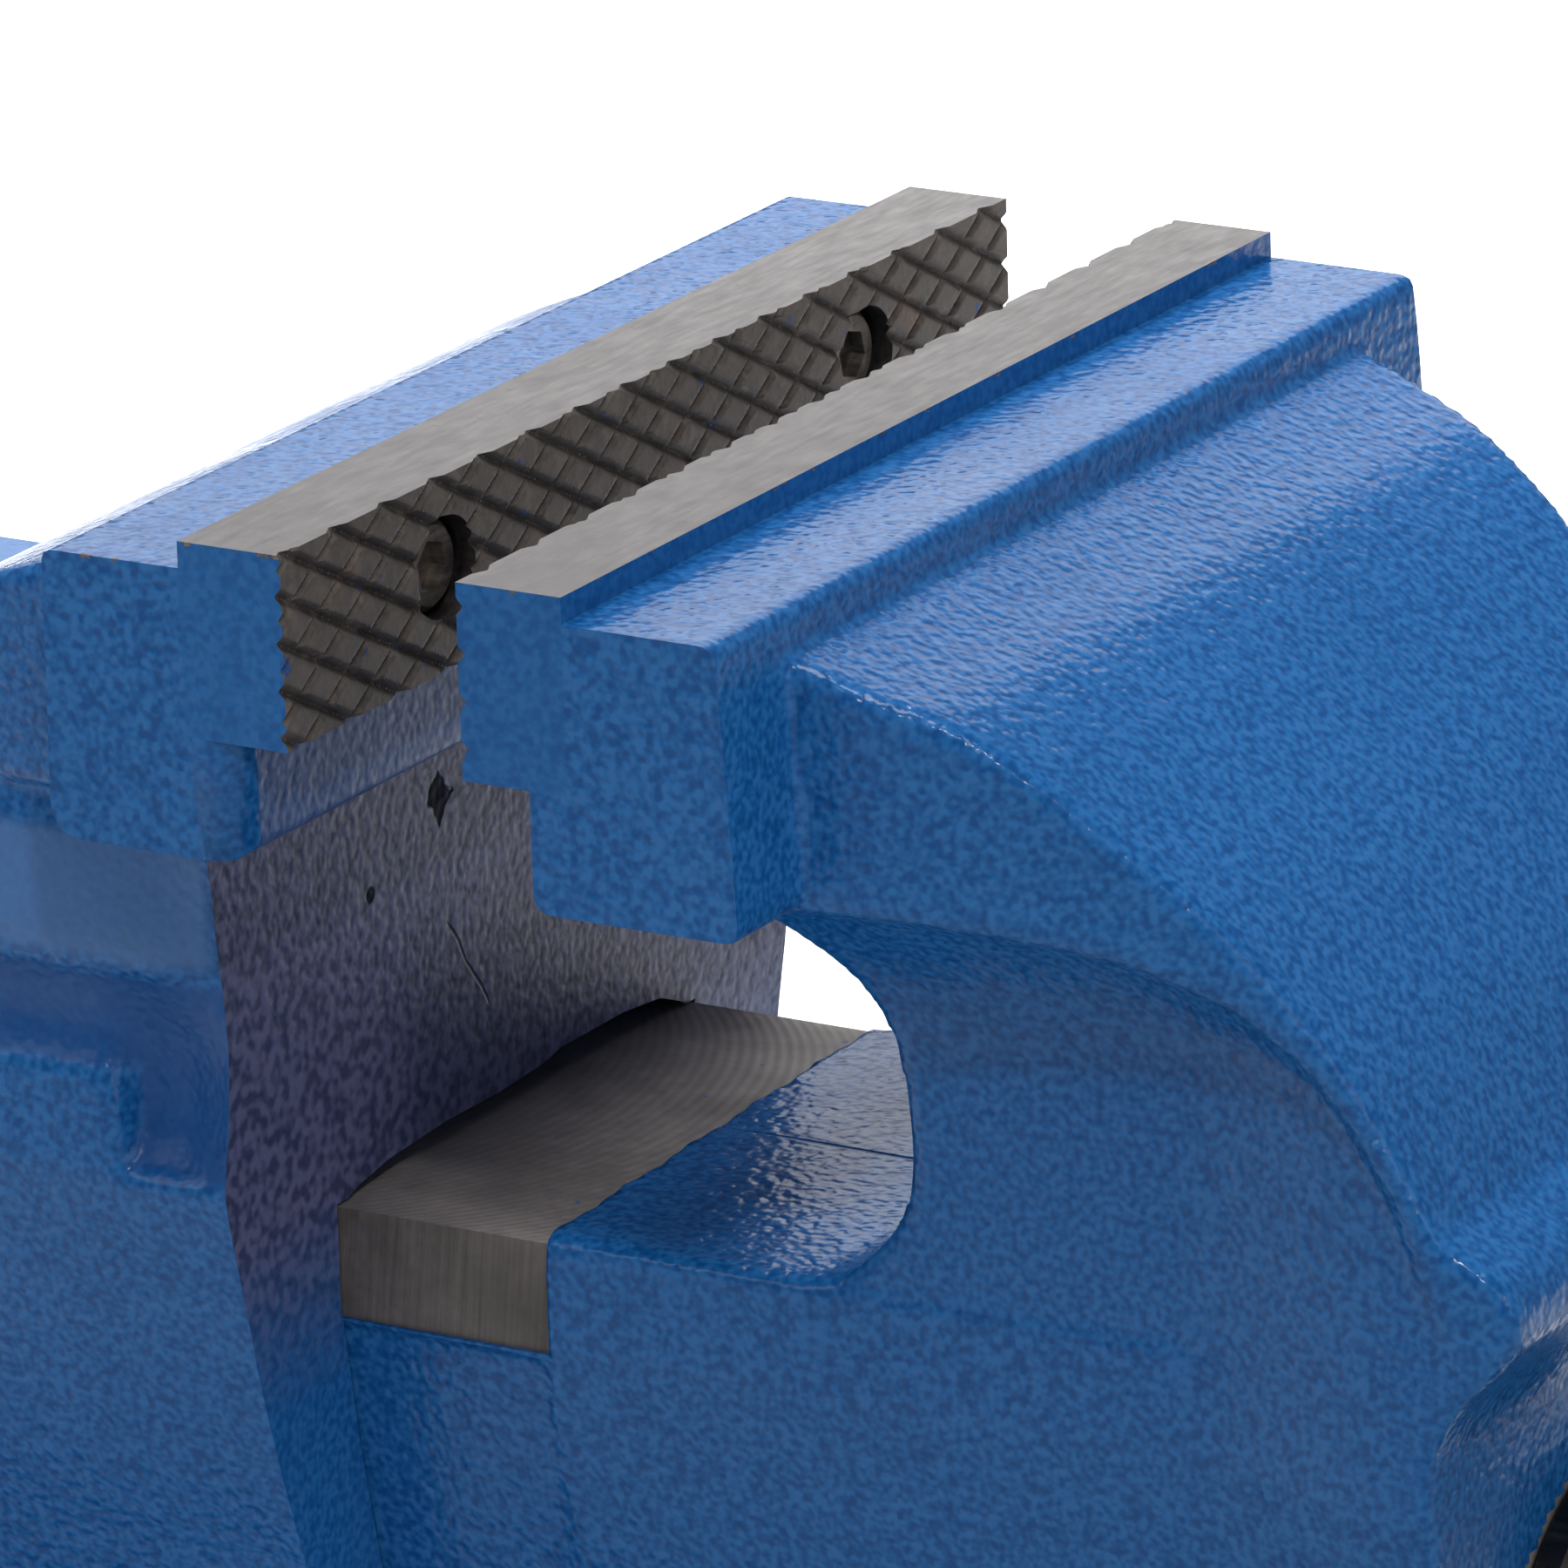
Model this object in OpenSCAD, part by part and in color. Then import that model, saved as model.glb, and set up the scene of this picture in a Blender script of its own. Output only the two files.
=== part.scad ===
// Heavy fixed-base engineers' bench vise, 150 mm jaws, box-section slide.
// Origin: centre of the base's underside. +X points out to the handle end,
// +Z points up. Modelled with the jaws partly open (jaw_gap).

/* [Jaws] */
// Width of both jaws, across the vise
jaw_w = 150; // [140:1:160]
// Opening between the two jaw plates
jaw_gap = 21; // [12:0.5:30]
// Height of the jaw tops above the mounting face
jaw_top_z = 210; // [206:1:220]
// Distance of the fixed gripping face in front of the base's centre
jaw_face_x = 100; // [92:1:108]
// Thickness of a jaw plate
plate_t = 12.4; // [11:0.1:14]
// Height of a jaw plate
plate_h = 21; // [20:0.5:23]
// Distance between the two screws of a jaw plate
plate_screw_pitch = 87; // [80:1:96]
// Depth of the screw axis below the plate's top
plate_screw_drop = 10; // [9:0.5:11]

/* [Slide] */
// Width of the box-section slide
slide_w = 74; // [70:1:76]
// Depth of the slide's machined top below the jaw tops
slide_drop = 86; // [84:0.5:88]
// Length of slide behind the fixed gripping face
slide_tail = 215; // [200:1:230]
// Sliding clearance between slide and body, each side
slide_gap = 0.35; // [0.3:0.05:0.6]

/* [Base] */
// Length of the base along the slide
base_l = 190; // [186:1:200]
// Width of the base
base_w = 160; // [152:1:170]
// Thickness of the base flange
base_t = 20; // [16:1:24]
// Hole spacing along the slide
bolt_x = 150; // [140:1:154]
// Hole spacing across the slide
bolt_y = 124; // [118:1:128]
// Diameter of the holding-down bolt holes
bolt_d = 14; // [12:0.5:16]

/* [Screw] */
// Thread diameter of the lead screw
screw_d = 24; // [22:1:24]
// Depth of the screw axis below the jaw tops
screw_drop = 130; // [129:0.5:131]
// Diameter of the screw's plain journal
journal_d = 25; // [25:0.5:26]
// Diameter of the screw head that holds the bar
head_d = 44; // [40:1:46]
// Outer diameter of the thrust washer
washer_d = 58; // [54:1:60]

/* [Handle] */
// Diameter of the tommy bar
bar_d = 18; // [16:1:20]
// Length of the tommy bar between its end knobs' centres
bar_l = 300; // [260:5:320]
// Diameter of an end knob
knob_d = 30; // [26:1:30]

/* [Hidden] */
$fn = 96;

blue = [0.10, 0.32, 0.66];
steel = [0.55, 0.54, 0.52];
dark = [0.33, 0.31, 0.30];
bronze = [0.72, 0.52, 0.28];

hw = jaw_w/2;               // jaw half width
sw = slide_w/2;             // slide half width
st = -slide_drop;           // slide top
sz = -screw_drop;           // screw axis
x_fr = jaw_gap;             // front plate's gripping face
floor_z = -jaw_top_z;       // mounting face
neck_x = -21;               // front face of the fixed neck
rear_x = -185;              // rear face of the fixed body
slide_floor = -156;         // underside of the slide
bore_x = x_fr + 67;         // inner end of the nose wall
nose_x = x_fr + 92;         // front face of the nose
bar_x = nose_x + 29;        // centre of the tommy bar
nut_x = -65;                // centre of the nut
nut_l = 50;
cav = 18;                   // half width of the slide's slot
pl = jaw_w;

// Everything is drawn with the fixed gripping face and the jaw tops at zero.
module place() translate([jaw_face_x, 0, jaw_top_z]) children();
// An outline in X and Z, carried across the vise to the half width h
module across(h) rotate([90, 0, 0]) linear_extrude(2*h, center = true) children();
// An outline in Y and Z, carried along the vise from a to b
module along(a, b) translate([a, 0, 0]) rotate([90, 0, 90]) linear_extrude(b - a) children();
// An outline in X and Y, carried up from a to b
module upward(a, b) translate([0, 0, a]) linear_extrude(b - a) children();
// A round bar or bore along X
module rod_x(r, a, b, y = 0, z = 0) translate([a, y, z]) rotate([0, 90, 0]) cylinder(r = r, h = b - a);
// A round bar or bore along Z
module rod_z(r, a, b, x = 0, y = 0) translate([x, y, a]) cylinder(r = r, h = b - a);
// Both halves of an outline given by points of positive half width
function both(p) = concat(p, [for (i = [len(p)-1:-1:0]) [-p[i][0], p[i][1]]]);
// A rectangle with round corners, from circles and bars
module round_rect(l, w, r) union() {
  square([l - 2*r, w], center = true);
  square([l, w - 2*r], center = true);
  for (x = [-1, 1], y = [-1, 1]) translate([x*(l/2 - r), y*(w/2 - r)]) circle(r);
}
// Cross-section of the slide, grown by g
module slide_section(g = 0) polygon(both([
  [sw + g, st + g], [sw + g, -97], [sw - 1 + g, -104], [sw - 2.4 + g, -113],
  [sw - 4 + g, -121], [sw - 6 + g, -130], [sw - 9.6 + g, -146], [sw - 12 + g, -152],
  [sw - 15 + g, slide_floor - g]]));

// ---- fixed casting ----
module body_head() across(hw) polygon([[-plate_t, -2.8], [-28.5, -2.8], [-29.5, -3.8],
  [-29.5, -32], [-27.5, -34], [-9, -34], [-6.4, -31.4], [-6.4, -plate_h], [-plate_t, -plate_h]]);
module body_hump() intersection() {
  across(hw) polygon([[-20, -6], [-34.5, -7], [-45, -10.5], [-56, -16], [-66, -23], [-76, -32],
    [-84, -39], [-94, -44], [-104, -46], [-180, -46], [rear_x, -51], [rear_x, -66],
    [-94, -66], [-84, -56], [-60, -48], [-20, -48]]);
  upward(-120, 0) polygon([[-15, 62], [-30, 62], [-84, 50], [-104, 46], [rear_x - 1, 46],
    [rear_x - 1, -46], [-104, -46], [-84, -50], [-30, -62], [-15, -62]]);
}
module body_box() along(rear_x, neck_x) polygon(both([[54, -40], [58.5, -44], [58.5, -78],
  [55.8, -91], [51.9, -107], [46.3, -124], [42, -142], [39, -156], [38, -166], [40, -176],
  [46, floor_z + base_t - 2]]));
module body_rear_cut() across(hw) polygon([[rear_x - 1, -30], [rear_x - 1, -66], [-94, -66],
  [-84, -56], [-70, -36], [-70, -30]]);
module neck_fillet() intersection() {
  across(57) difference() {
    polygon([[neck_x - 1, -33], [-7, -33], [-7, -34], [neck_x, -48.5], [neck_x - 1, -48.5]]);
    translate([-6.5, -48.5]) circle(14.5);
  }
  upward(-60, -30) square([200, 114], center = true);
}
module side_pocket(s) translate([0, s*58.5, 0]) {
  translate([-110, -5.5, -66]) cube([77, 11, 14]);
  translate([-34, -5.5, -77]) cube([10, 11, 25]);
}
module fixed_jaw_body() place() color(blue) difference() {
  union() {
    body_head();
    body_hump();
    difference() { body_box(); body_rear_cut(); }
    neck_fillet();
    upward(floor_z, floor_z + base_t) translate([-jaw_face_x, 0]) round_rect(base_l, base_w, 24);
  }
  for (s = [-1, 1]) side_pocket(s);
  // channel for the slide, with a relieved mouth
  along(rear_x - 1, neck_x + 20) slide_section(slide_gap);
  along(neck_x - 8, neck_x + 20) polygon(both([[sw + 2, st - 6], [sw + 0.5, st + 1.5],
    [sw - 6, st + 3], [0, st + 3.6]]));
  // tapped holes for the plate screws
  for (s = [-1, 1]) rod_x(3.05, -32, -plate_t + 1, s*plate_screw_pitch/2, -plate_screw_drop);
  // holding-down bolt holes and their spot faces
  for (x = [-1, 1], y = [-1, 1]) translate([-jaw_face_x, 0, 0]) {
    rod_z(bolt_d/2, floor_z - 1, floor_z + base_t + 1, x*bolt_x/2, y*bolt_y/2);
    rod_z(bolt_d, floor_z + base_t - 1.5, floor_z + base_t + 4, x*bolt_x/2, y*bolt_y/2);
  }
  // bolt and dowels of the nut
  rod_z(6.5, floor_z - 1, -150, nut_x);
  rod_z(13, floor_z - 1, floor_z + 30, nut_x);
  for (s = [-1, 1]) rod_z(4, -172, -150, nut_x + s*17);
}

// ---- moving casting ----
module jaw_head() translate([x_fr, 0, 0]) across(hw) polygon([[plate_t, -2.8], [27, -2.8],
  [29, -3.6], [30.3, -6.6], [31.6, -32], [30, -34], [10.5, -34], [7.9, -31.4],
  [7.9, -plate_h], [plate_t, -plate_h]]);
module jaw_hump() translate([x_fr, 0, 0]) intersection() {
  across(hw) polygon([[26, -8], [33, -8.6], [39.5, -10.7], [47, -13.3], [55.5, -18.6],
    [65, -26.3], [75, -35.7], [82, -44.1], [87.5, -52.5], [92.4, -64], [95.5, -67.4],
    [100, -70], [102.5, -72.5], [102.5, -80], [nose_x - x_fr, -88], [86, -66], [84, -54],
    [79.5, -47.7], [73, -42.3], [65, -39], [56.4, -37], [43.5, -35.6], [26, -35.4]]);
  upward(-120, 0) polygon([[24, 62], [31, 62], [55, 56.2], [74, 50], [89, 44], [103, 42],
    [103, -42], [89, -44], [74, -50], [55, -56.2], [31, -62], [24, -62]]);
}
module jaw_web() translate([x_fr, 0, 0]) across(sw) polygon([
  [-20, -94], [-16, st + 1], [17, st + 1], [21.5, -83], [26.5, -78], [29, -72], [29.2, -65],
  [28, -57], [25.5, -51], [21, -45], [15, -39.5], [10, -35.5], [10, -33], [40, -20], [50, -20],
  [66, -34], [80, -46], [88, -58], [nose_x - x_fr, -70], [nose_x - x_fr, -100], [60, -100]]);
module moving_jaw_slide() place() color(blue) difference() {
  union() {
    jaw_head();
    jaw_hump();
    jaw_web();
    along(-slide_tail, x_fr + 60) slide_section();
    along(x_fr + 55, nose_x) polygon(both([[sw + 1, st], [sw + 1, -97], [sw, -113],
      [sw - 3, -130], [sw - 6, -146], [sw - 10, -154], [sw - 15, -160]]));
  }
  // slot for the nut and the screw
  along(-slide_tail - 1, bore_x) polygon(both([[0, -104], [13, -104], [cav, -109], [cav, -162]]));
  rod_x(journal_d/2 + 0.05, bore_x - 1, nose_x + 1, 0, sz);
  for (s = [-1, 1]) rod_x(3.05, x_fr + plate_t - 1, x_fr + 30, s*plate_screw_pitch/2, -plate_screw_drop);
}

// ---- jaw plates and their screws ----
// A plate whose gripping face is at x = 0 and whose back is at -plate_t
module jaw_plate() difference() {
  translate([-plate_t, -hw, -plate_h]) cube([plate_t, jaw_w, plate_h]);
  for (s = [-1, 1]) {
    rod_x(3.3, -plate_t - 1, 1, s*plate_screw_pitch/2, -plate_screw_drop);
    rod_x(5.6, -7.5, 1, s*plate_screw_pitch/2, -plate_screw_drop);
  }
}
// Cap screws of a plate, seated in the counterbores
module plate_screws() for (s = [-1, 1]) difference() {
  union() {
    rod_x(3, -28, -7, s*plate_screw_pitch/2, -plate_screw_drop);
    rod_x(5, -7.5, -1.9, s*plate_screw_pitch/2, -plate_screw_drop);
  }
  translate([-4.6, s*plate_screw_pitch/2, -plate_screw_drop]) rotate([0, 90, 0]) cylinder(r = 2.9, h = 5, $fn = 6);
}
module rear_jaw_plate() place() color(steel) jaw_plate();
module front_jaw_plate() place() color(steel) translate([x_fr, 0, 0]) mirror([1, 0, 0]) jaw_plate();
module rear_plate_screws() place() color(dark) plate_screws();
module front_plate_screws() place() color(dark) translate([x_fr, 0, 0]) mirror([1, 0, 0]) plate_screws();

// ---- lead screw and what holds it in the nose ----
module lead_screw() place() color(steel) difference() {
  union() {
    rod_x(screw_d/2 - 2, -208, -200, 0, sz);
    rod_x(screw_d/2, -206, x_fr + 40, 0, sz);
    rod_x(journal_d/2, x_fr + 39, nose_x + 6, 0, sz);
    translate([0, 0, sz]) rotate([0, 90, 0]) rotate_extrude() polygon([[0, nose_x + 4.2],
      [26, nose_x + 4.2], [26, nose_x + 9], [24, nose_x + 11], [head_d/2, nose_x + 14],
      [head_d/2, nose_x + 44], [head_d/2 - 2, nose_x + 49], [head_d/2 - 8, nose_x + 53],
      [head_d/2 - 14, nose_x + 54.5], [0, nose_x + 55]]);
  }
  translate([bar_x, 0, sz]) rotate([90, 0, 0]) cylinder(r = bar_d/2 + 0.1, h = 2*head_d, center = true);
  rod_z(2.6, sz - 20, sz + 20, x_fr + 43);
}
module thrust_washer() place() color(dark) difference() {
  rod_x(washer_d/2, nose_x, nose_x + 4, 0, sz);
  rod_x(journal_d/2 + 0.4, nose_x - 1, nose_x + 5, 0, sz);
}
// Round wire spring between the nose wall and the washer behind it
spr_r = 15; spr_w = 1.25; spr_a = x_fr + 50.6; spr_b = bore_x - 0.2; spr_turns = 4; spr_n = 72;
function spr_pt(i, k) = let(t = i/spr_n, a = 360*spr_turns*t,
    c = spr_a + spr_w + (spr_b - spr_a - 2*spr_w)*t, r = spr_r + spr_w*cos(60*k))
  [c + spr_w*sin(60*k), r*cos(a), sz + r*sin(a)];
module backlash_spring() place() color(dark) polyhedron(
  points = [for (i = [0:spr_n], k = [0:5]) spr_pt(i, k)],
  faces = concat([[for (k = [0:5]) k]], [[for (k = [5:-1:0]) spr_n*6 + k]],
    [for (i = [0:spr_n-1], k = [0:5]) [i*6 + k, (i+1)*6 + k, (i+1)*6 + (k+1)%6]],
    [for (i = [0:spr_n-1], k = [0:5]) [i*6 + k, (i+1)*6 + (k+1)%6, i*6 + (k+1)%6]]));
module spring_washer() place() color(steel) difference() {
  rod_x(17, x_fr + 47.5, x_fr + 50.5, 0, sz);
  rod_x(journal_d/2 + 0.05, x_fr + 46, x_fr + 52, 0, sz);
}
module split_pin() place() color(steel) union() {
  rod_z(2.5, sz - 17, sz + 14, x_fr + 43);
  rod_z(3.6, sz + 13.5, sz + 17.5, x_fr + 43);
}

// ---- nut ----
module main_nut() place() color(bronze) difference() {
  union() {
    rod_x(16.6, nut_x - nut_l/2, nut_x + nut_l/2, 0, sz);
    translate([nut_x - nut_l/2, -16.6, slide_floor - slide_gap]) cube([nut_l, 33.2, sz - slide_floor + slide_gap]);
  }
  rod_x(screw_d/2 + 0.1, nut_x - nut_l, nut_x + nut_l, 0, sz);
  rod_z(6.05, slide_floor - 2, slide_floor + 9.5, nut_x);
  for (s = [-1, 1]) rod_z(4, slide_floor - 2, slide_floor + 8.5, nut_x + s*17);
}
module nut_bolt() place() color(dark) difference() {
  union() {
    rod_z(6, floor_z + 20, slide_floor + 9, nut_x);
    rod_z(9, floor_z + 15, floor_z + 27, nut_x);
  }
  rod_z(5.6, floor_z + 14, floor_z + 22, nut_x, $fn = 6);
}
module nut_bolt_washer() place() color(steel) difference() {
  rod_z(11.5, floor_z + 27, floor_z + 30, nut_x);
  rod_z(6.4, floor_z + 26, floor_z + 31, nut_x);
}
module nut_dowels() place() color(steel) for (s = [-1, 1]) rod_z(3.97, -172, slide_floor + 8, nut_x + s*17);

// ---- handle ----
module tommy_bar() place() color(steel) translate([bar_x, 0, sz]) rotate([90, 0, 0])
  cylinder(r = bar_d/2, h = bar_l - 14, center = true);
// An end knob pushed over the end of the bar; s is the side it is on
module bar_knob(s) translate([bar_x, s*bar_l/2, sz]) rotate([s*-90, 0, 0]) difference() {
  intersection() {
    sphere(d = knob_d);
    translate([0, 0, -12]) cylinder(r = knob_d, h = 25.5);
  }
  translate([0, 0, -20]) cylinder(r = bar_d/2, h = 13);
}
module left_bar_knob() place() color(steel) bar_knob(-1);
module right_bar_knob() place() color(steel) bar_knob(1);

fixed_jaw_body();
moving_jaw_slide();
rear_jaw_plate();
front_jaw_plate();
rear_plate_screws();
front_plate_screws();
lead_screw();
thrust_washer();
backlash_spring();
spring_washer();
split_pin();
main_nut();
nut_bolt();
nut_bolt_washer();
nut_dowels();
tommy_bar();
left_bar_knob();
right_bar_knob();
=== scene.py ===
import bpy, bmesh, math
import numpy as np
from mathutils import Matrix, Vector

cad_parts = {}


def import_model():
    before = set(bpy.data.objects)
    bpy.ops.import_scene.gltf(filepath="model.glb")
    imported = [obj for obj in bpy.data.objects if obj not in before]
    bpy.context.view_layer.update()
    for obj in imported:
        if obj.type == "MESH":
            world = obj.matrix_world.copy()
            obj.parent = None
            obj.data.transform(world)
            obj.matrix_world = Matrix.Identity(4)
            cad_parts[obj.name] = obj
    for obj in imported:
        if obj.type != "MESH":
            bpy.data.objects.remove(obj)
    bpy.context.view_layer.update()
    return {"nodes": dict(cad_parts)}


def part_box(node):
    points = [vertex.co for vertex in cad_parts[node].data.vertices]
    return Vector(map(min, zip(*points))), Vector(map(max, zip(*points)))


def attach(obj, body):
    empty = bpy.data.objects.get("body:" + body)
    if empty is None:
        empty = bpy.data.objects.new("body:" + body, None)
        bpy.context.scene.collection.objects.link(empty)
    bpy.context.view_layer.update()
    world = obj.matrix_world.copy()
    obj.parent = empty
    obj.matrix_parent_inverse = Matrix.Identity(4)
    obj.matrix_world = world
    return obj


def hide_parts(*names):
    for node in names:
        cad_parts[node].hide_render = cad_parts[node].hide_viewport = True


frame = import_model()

import openvdb as vdb
from mathutils import Vector, Matrix

H = 1.0            # sampling step of the cast shapes, mm

# Shop frame: mm, x from the fixed gripping face, z from the jaw tops.
_lo, _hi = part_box("rear_jaw_plate")
OX, OZ, HW = _hi.x * 1000, _hi.z * 1000, _hi.y * 1000
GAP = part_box("front_jaw_plate")[0].x * 1000 - OX
PT = (_hi.x - _lo.x) * 1000
PH = (_hi.z - _lo.z) * 1000
SZ = (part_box("main_nut")[1].z * 1000 - OZ) - 16.6      # screw axis
BARX = 0.5 * (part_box("tommy_bar")[0].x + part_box("tommy_bar")[1].x) * 1000 - OX
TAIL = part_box("moving_jaw_slide")[0].x * 1000 - OX
REAR = -185.0
NECK = -21.0
ST = -86.0


def row(p):
    """Shop millimetres to row metres."""
    p = np.asarray(p, float)
    return (p + np.array([OX, 0.0, OZ])) / 1000.0


# ------------------------------------------------------------------ fields
def ss(a, b, x):
    t = np.clip((x - a) / (b - a), 0, 1)
    return t * t * (3 - 2 * t)


def smin(a, b, k):
    h = np.maximum(k - np.abs(a - b), 0) / k
    return np.minimum(a, b) - h * h * k * 0.25


def smax(a, b, k):
    h = np.maximum(k - np.abs(a - b), 0) / k
    return np.maximum(a, b) + h * h * k * 0.25


def poly(U, V, P):
    """Signed distance to a closed outline."""
    P = np.asarray(P, float)
    d = np.full(np.broadcast(U, V).shape, 1e9)
    s = np.ones_like(d)
    for i in range(len(P)):
        a, b = P[i], P[i - 1]
        e = b - a
        wx, wy = U - a[0], V - a[1]
        t = np.clip((wx * e[0] + wy * e[1]) / max(e @ e, 1e-12), 0, 1)
        d = np.minimum(d, (wx - e[0] * t) ** 2 + (wy - e[1] * t) ** 2)
        c1, c2, c3 = V >= a[1], V < b[1], e[0] * wy > e[1] * wx
        s = np.where((c1 & c2 & c3) | (~c1 & ~c2 & ~c3), -s, s)
    return s * np.sqrt(d)


def rp(pts, n=6):
    """An outline whose corners (x, z, r) are rounded to radius r."""
    out = []
    m = len(pts)
    for i in range(m):
        p = pts[i]
        r = p[2] if len(p) > 2 else 0
        q = np.array(p[:2], float)
        if r <= 0:
            out.append(tuple(q))
            continue
        a = np.array(pts[i - 1][:2], float) - q
        b = np.array(pts[(i + 1) % m][:2], float) - q
        la, lb = np.linalg.norm(a), np.linalg.norm(b)
        a, b = a / la, b / lb
        ang = math.acos(max(-1, min(1, float(a @ b))))
        t = min(r / math.tan(ang / 2), 0.49 * la, 0.49 * lb)
        r = t * math.tan(ang / 2)
        c = q + (a + b) / np.linalg.norm(a + b) * (r / math.sin(ang / 2))
        p0, p1 = q + a * t - c, q + b * t - c
        a0, a1 = math.atan2(p0[1], p0[0]), math.atan2(p1[1], p1[0])
        da = (a1 - a0 + math.pi) % (2 * math.pi) - math.pi
        for k in range(n + 1):
            w = a0 + da * k / n
            out.append((c[0] + r * math.cos(w), c[1] + r * math.sin(w)))
    return out


def spline(pts, n=5):
    """Centripetal-like Catmull-Rom through open points."""
    P = np.asarray(pts, float)
    P = np.vstack([2 * P[0] - P[1], P, 2 * P[-1] - P[-2]])
    out = []
    for i in range(1, len(P) - 2):
        p0, p1, p2, p3 = P[i - 1:i + 3]
        for k in range(n):
            t = k / n
            out.append(tuple(0.5 * (2 * p1 + (p2 - p0) * t + (2 * p0 - 5 * p1 + 4 * p2 - p3) * t * t
                                    + (3 * p1 - p0 - 3 * p2 + p3) * t ** 3)))
    out.append(tuple(P[-2]))
    return out


def blur2(A, sig):
    """Gaussian blur of a map, sig in mm."""
    r = max(1, int(3 * sig / H))
    k = np.exp(-0.5 * (np.arange(-r, r + 1) * H / sig) ** 2)
    k /= k.sum()
    for ax in (0, 1):
        pad = [(r, r) if a == ax else (0, 0) for a in (0, 1)]
        B = np.pad(A, pad, mode="edge")
        A = sum(k[j] * (B[j:j + A.shape[0]] if ax == 0 else B[:, j:j + A.shape[1]]) for j in range(2 * r + 1))
    return A


class Grid:
    def __init__(s, x0, x1, y1, z0, z1):
        o = 0.37 * H
        s.x = np.arange(x0 - 3 * H + o, x1 + 3 * H, H)
        s.y = np.arange(0, y1 + 3 * H, H)
        s.z = np.arange(z0 - 3 * H + o, z1 + 3 * H, H)
        s.X, s.Y, s.Z = s.x[:, None, None], s.y[None, :, None], s.z[None, None, :]
        s.XX, s.ZZ = s.x[:, None] + 0 * s.z[None, :], s.z[None, :] + 0 * s.x[:, None]
        s.YY, s.ZY = s.y[:, None] + 0 * s.z[None, :], s.z[None, :] + 0 * s.y[:, None]

    def xz(s, A):
        return A[:, None, :]

    def yz(s, A):
        return A[None, :, :]

    def width(s, W, soft=0.0):
        """Distance to the sides |y| = W(x, z)."""
        if soft:
            W = blur2(W, soft)
        gx, gz = np.gradient(W, H)
        c = 1 / np.sqrt(1 + np.clip(gx * gx + gz * gz, 0, 30))
        return (s.Y - s.xz(W)) * s.xz(c)

    def mesh(s, F, name, adapt=0.0):
        F = np.clip(F, -3 * H, 3 * H).astype(np.float32)
        F = np.concatenate([F[:, :0:-1, :], F], axis=1)
        g = vdb.FloatGrid(3 * H)
        g.copyFromArray(np.ascontiguousarray(F))
        pts, tris, quads = g.convertToPolygons(0.0, adapt)
        pts = np.asarray(pts, float) * H
        pts[:, 0] += s.x[0]
        pts[:, 1] -= s.y[-1]
        pts[:, 2] += s.z[0]
        faces = [tuple(int(i) for i in q) for q in tris] + [tuple(int(i) for i in q) for q in quads]
        me = bpy.data.meshes.new(name)
        me.from_pydata(pts.tolist(), [], faces)
        me.update()
        bm = bmesh.new()
        bm.from_mesh(me)
        if bm.calc_volume(signed=True) < 0:
            bmesh.ops.reverse_faces(bm, faces=bm.faces)
        bm.to_mesh(me)
        bm.free()
        return me


def cyl_x(g, r, x0, x1, y, z):
    d = np.sqrt((g.Y - y) ** 2 + (g.Z - z) ** 2) - r
    return np.maximum(d, np.maximum(x0 - g.X, g.X - x1))


def cyl_z(g, r, z0, z1, x, y):
    d = np.sqrt((g.X - x) ** 2 + (g.Y - y) ** 2) - r
    return np.maximum(d, np.maximum(z0 - g.Z, g.Z - z1))


SECTION = [(0, ST), (37, ST), (37, -97), (36, -104), (34.6, -113), (33, -121), (31, -130),
           (27.4, -146), (25, -152), (21.5, -156), (0, -156)]


def section(g, grow=0.0):
    S = [(-a, b) for a, b in SECTION[1:-1]][::-1]
    d = poly(g.YY, g.ZY, SECTION[1:-1] + S)
    return d - grow


# ------------------------------------------------------------------ moving casting
def step_x(y):
    """Where the ground part of the slide ends, across its width."""
    return 4.25 - 0.034 * y + 0.22 * math.sin(y * 0.43 + 1.0) + 0.13 * math.sin(y * 1.31)


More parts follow.
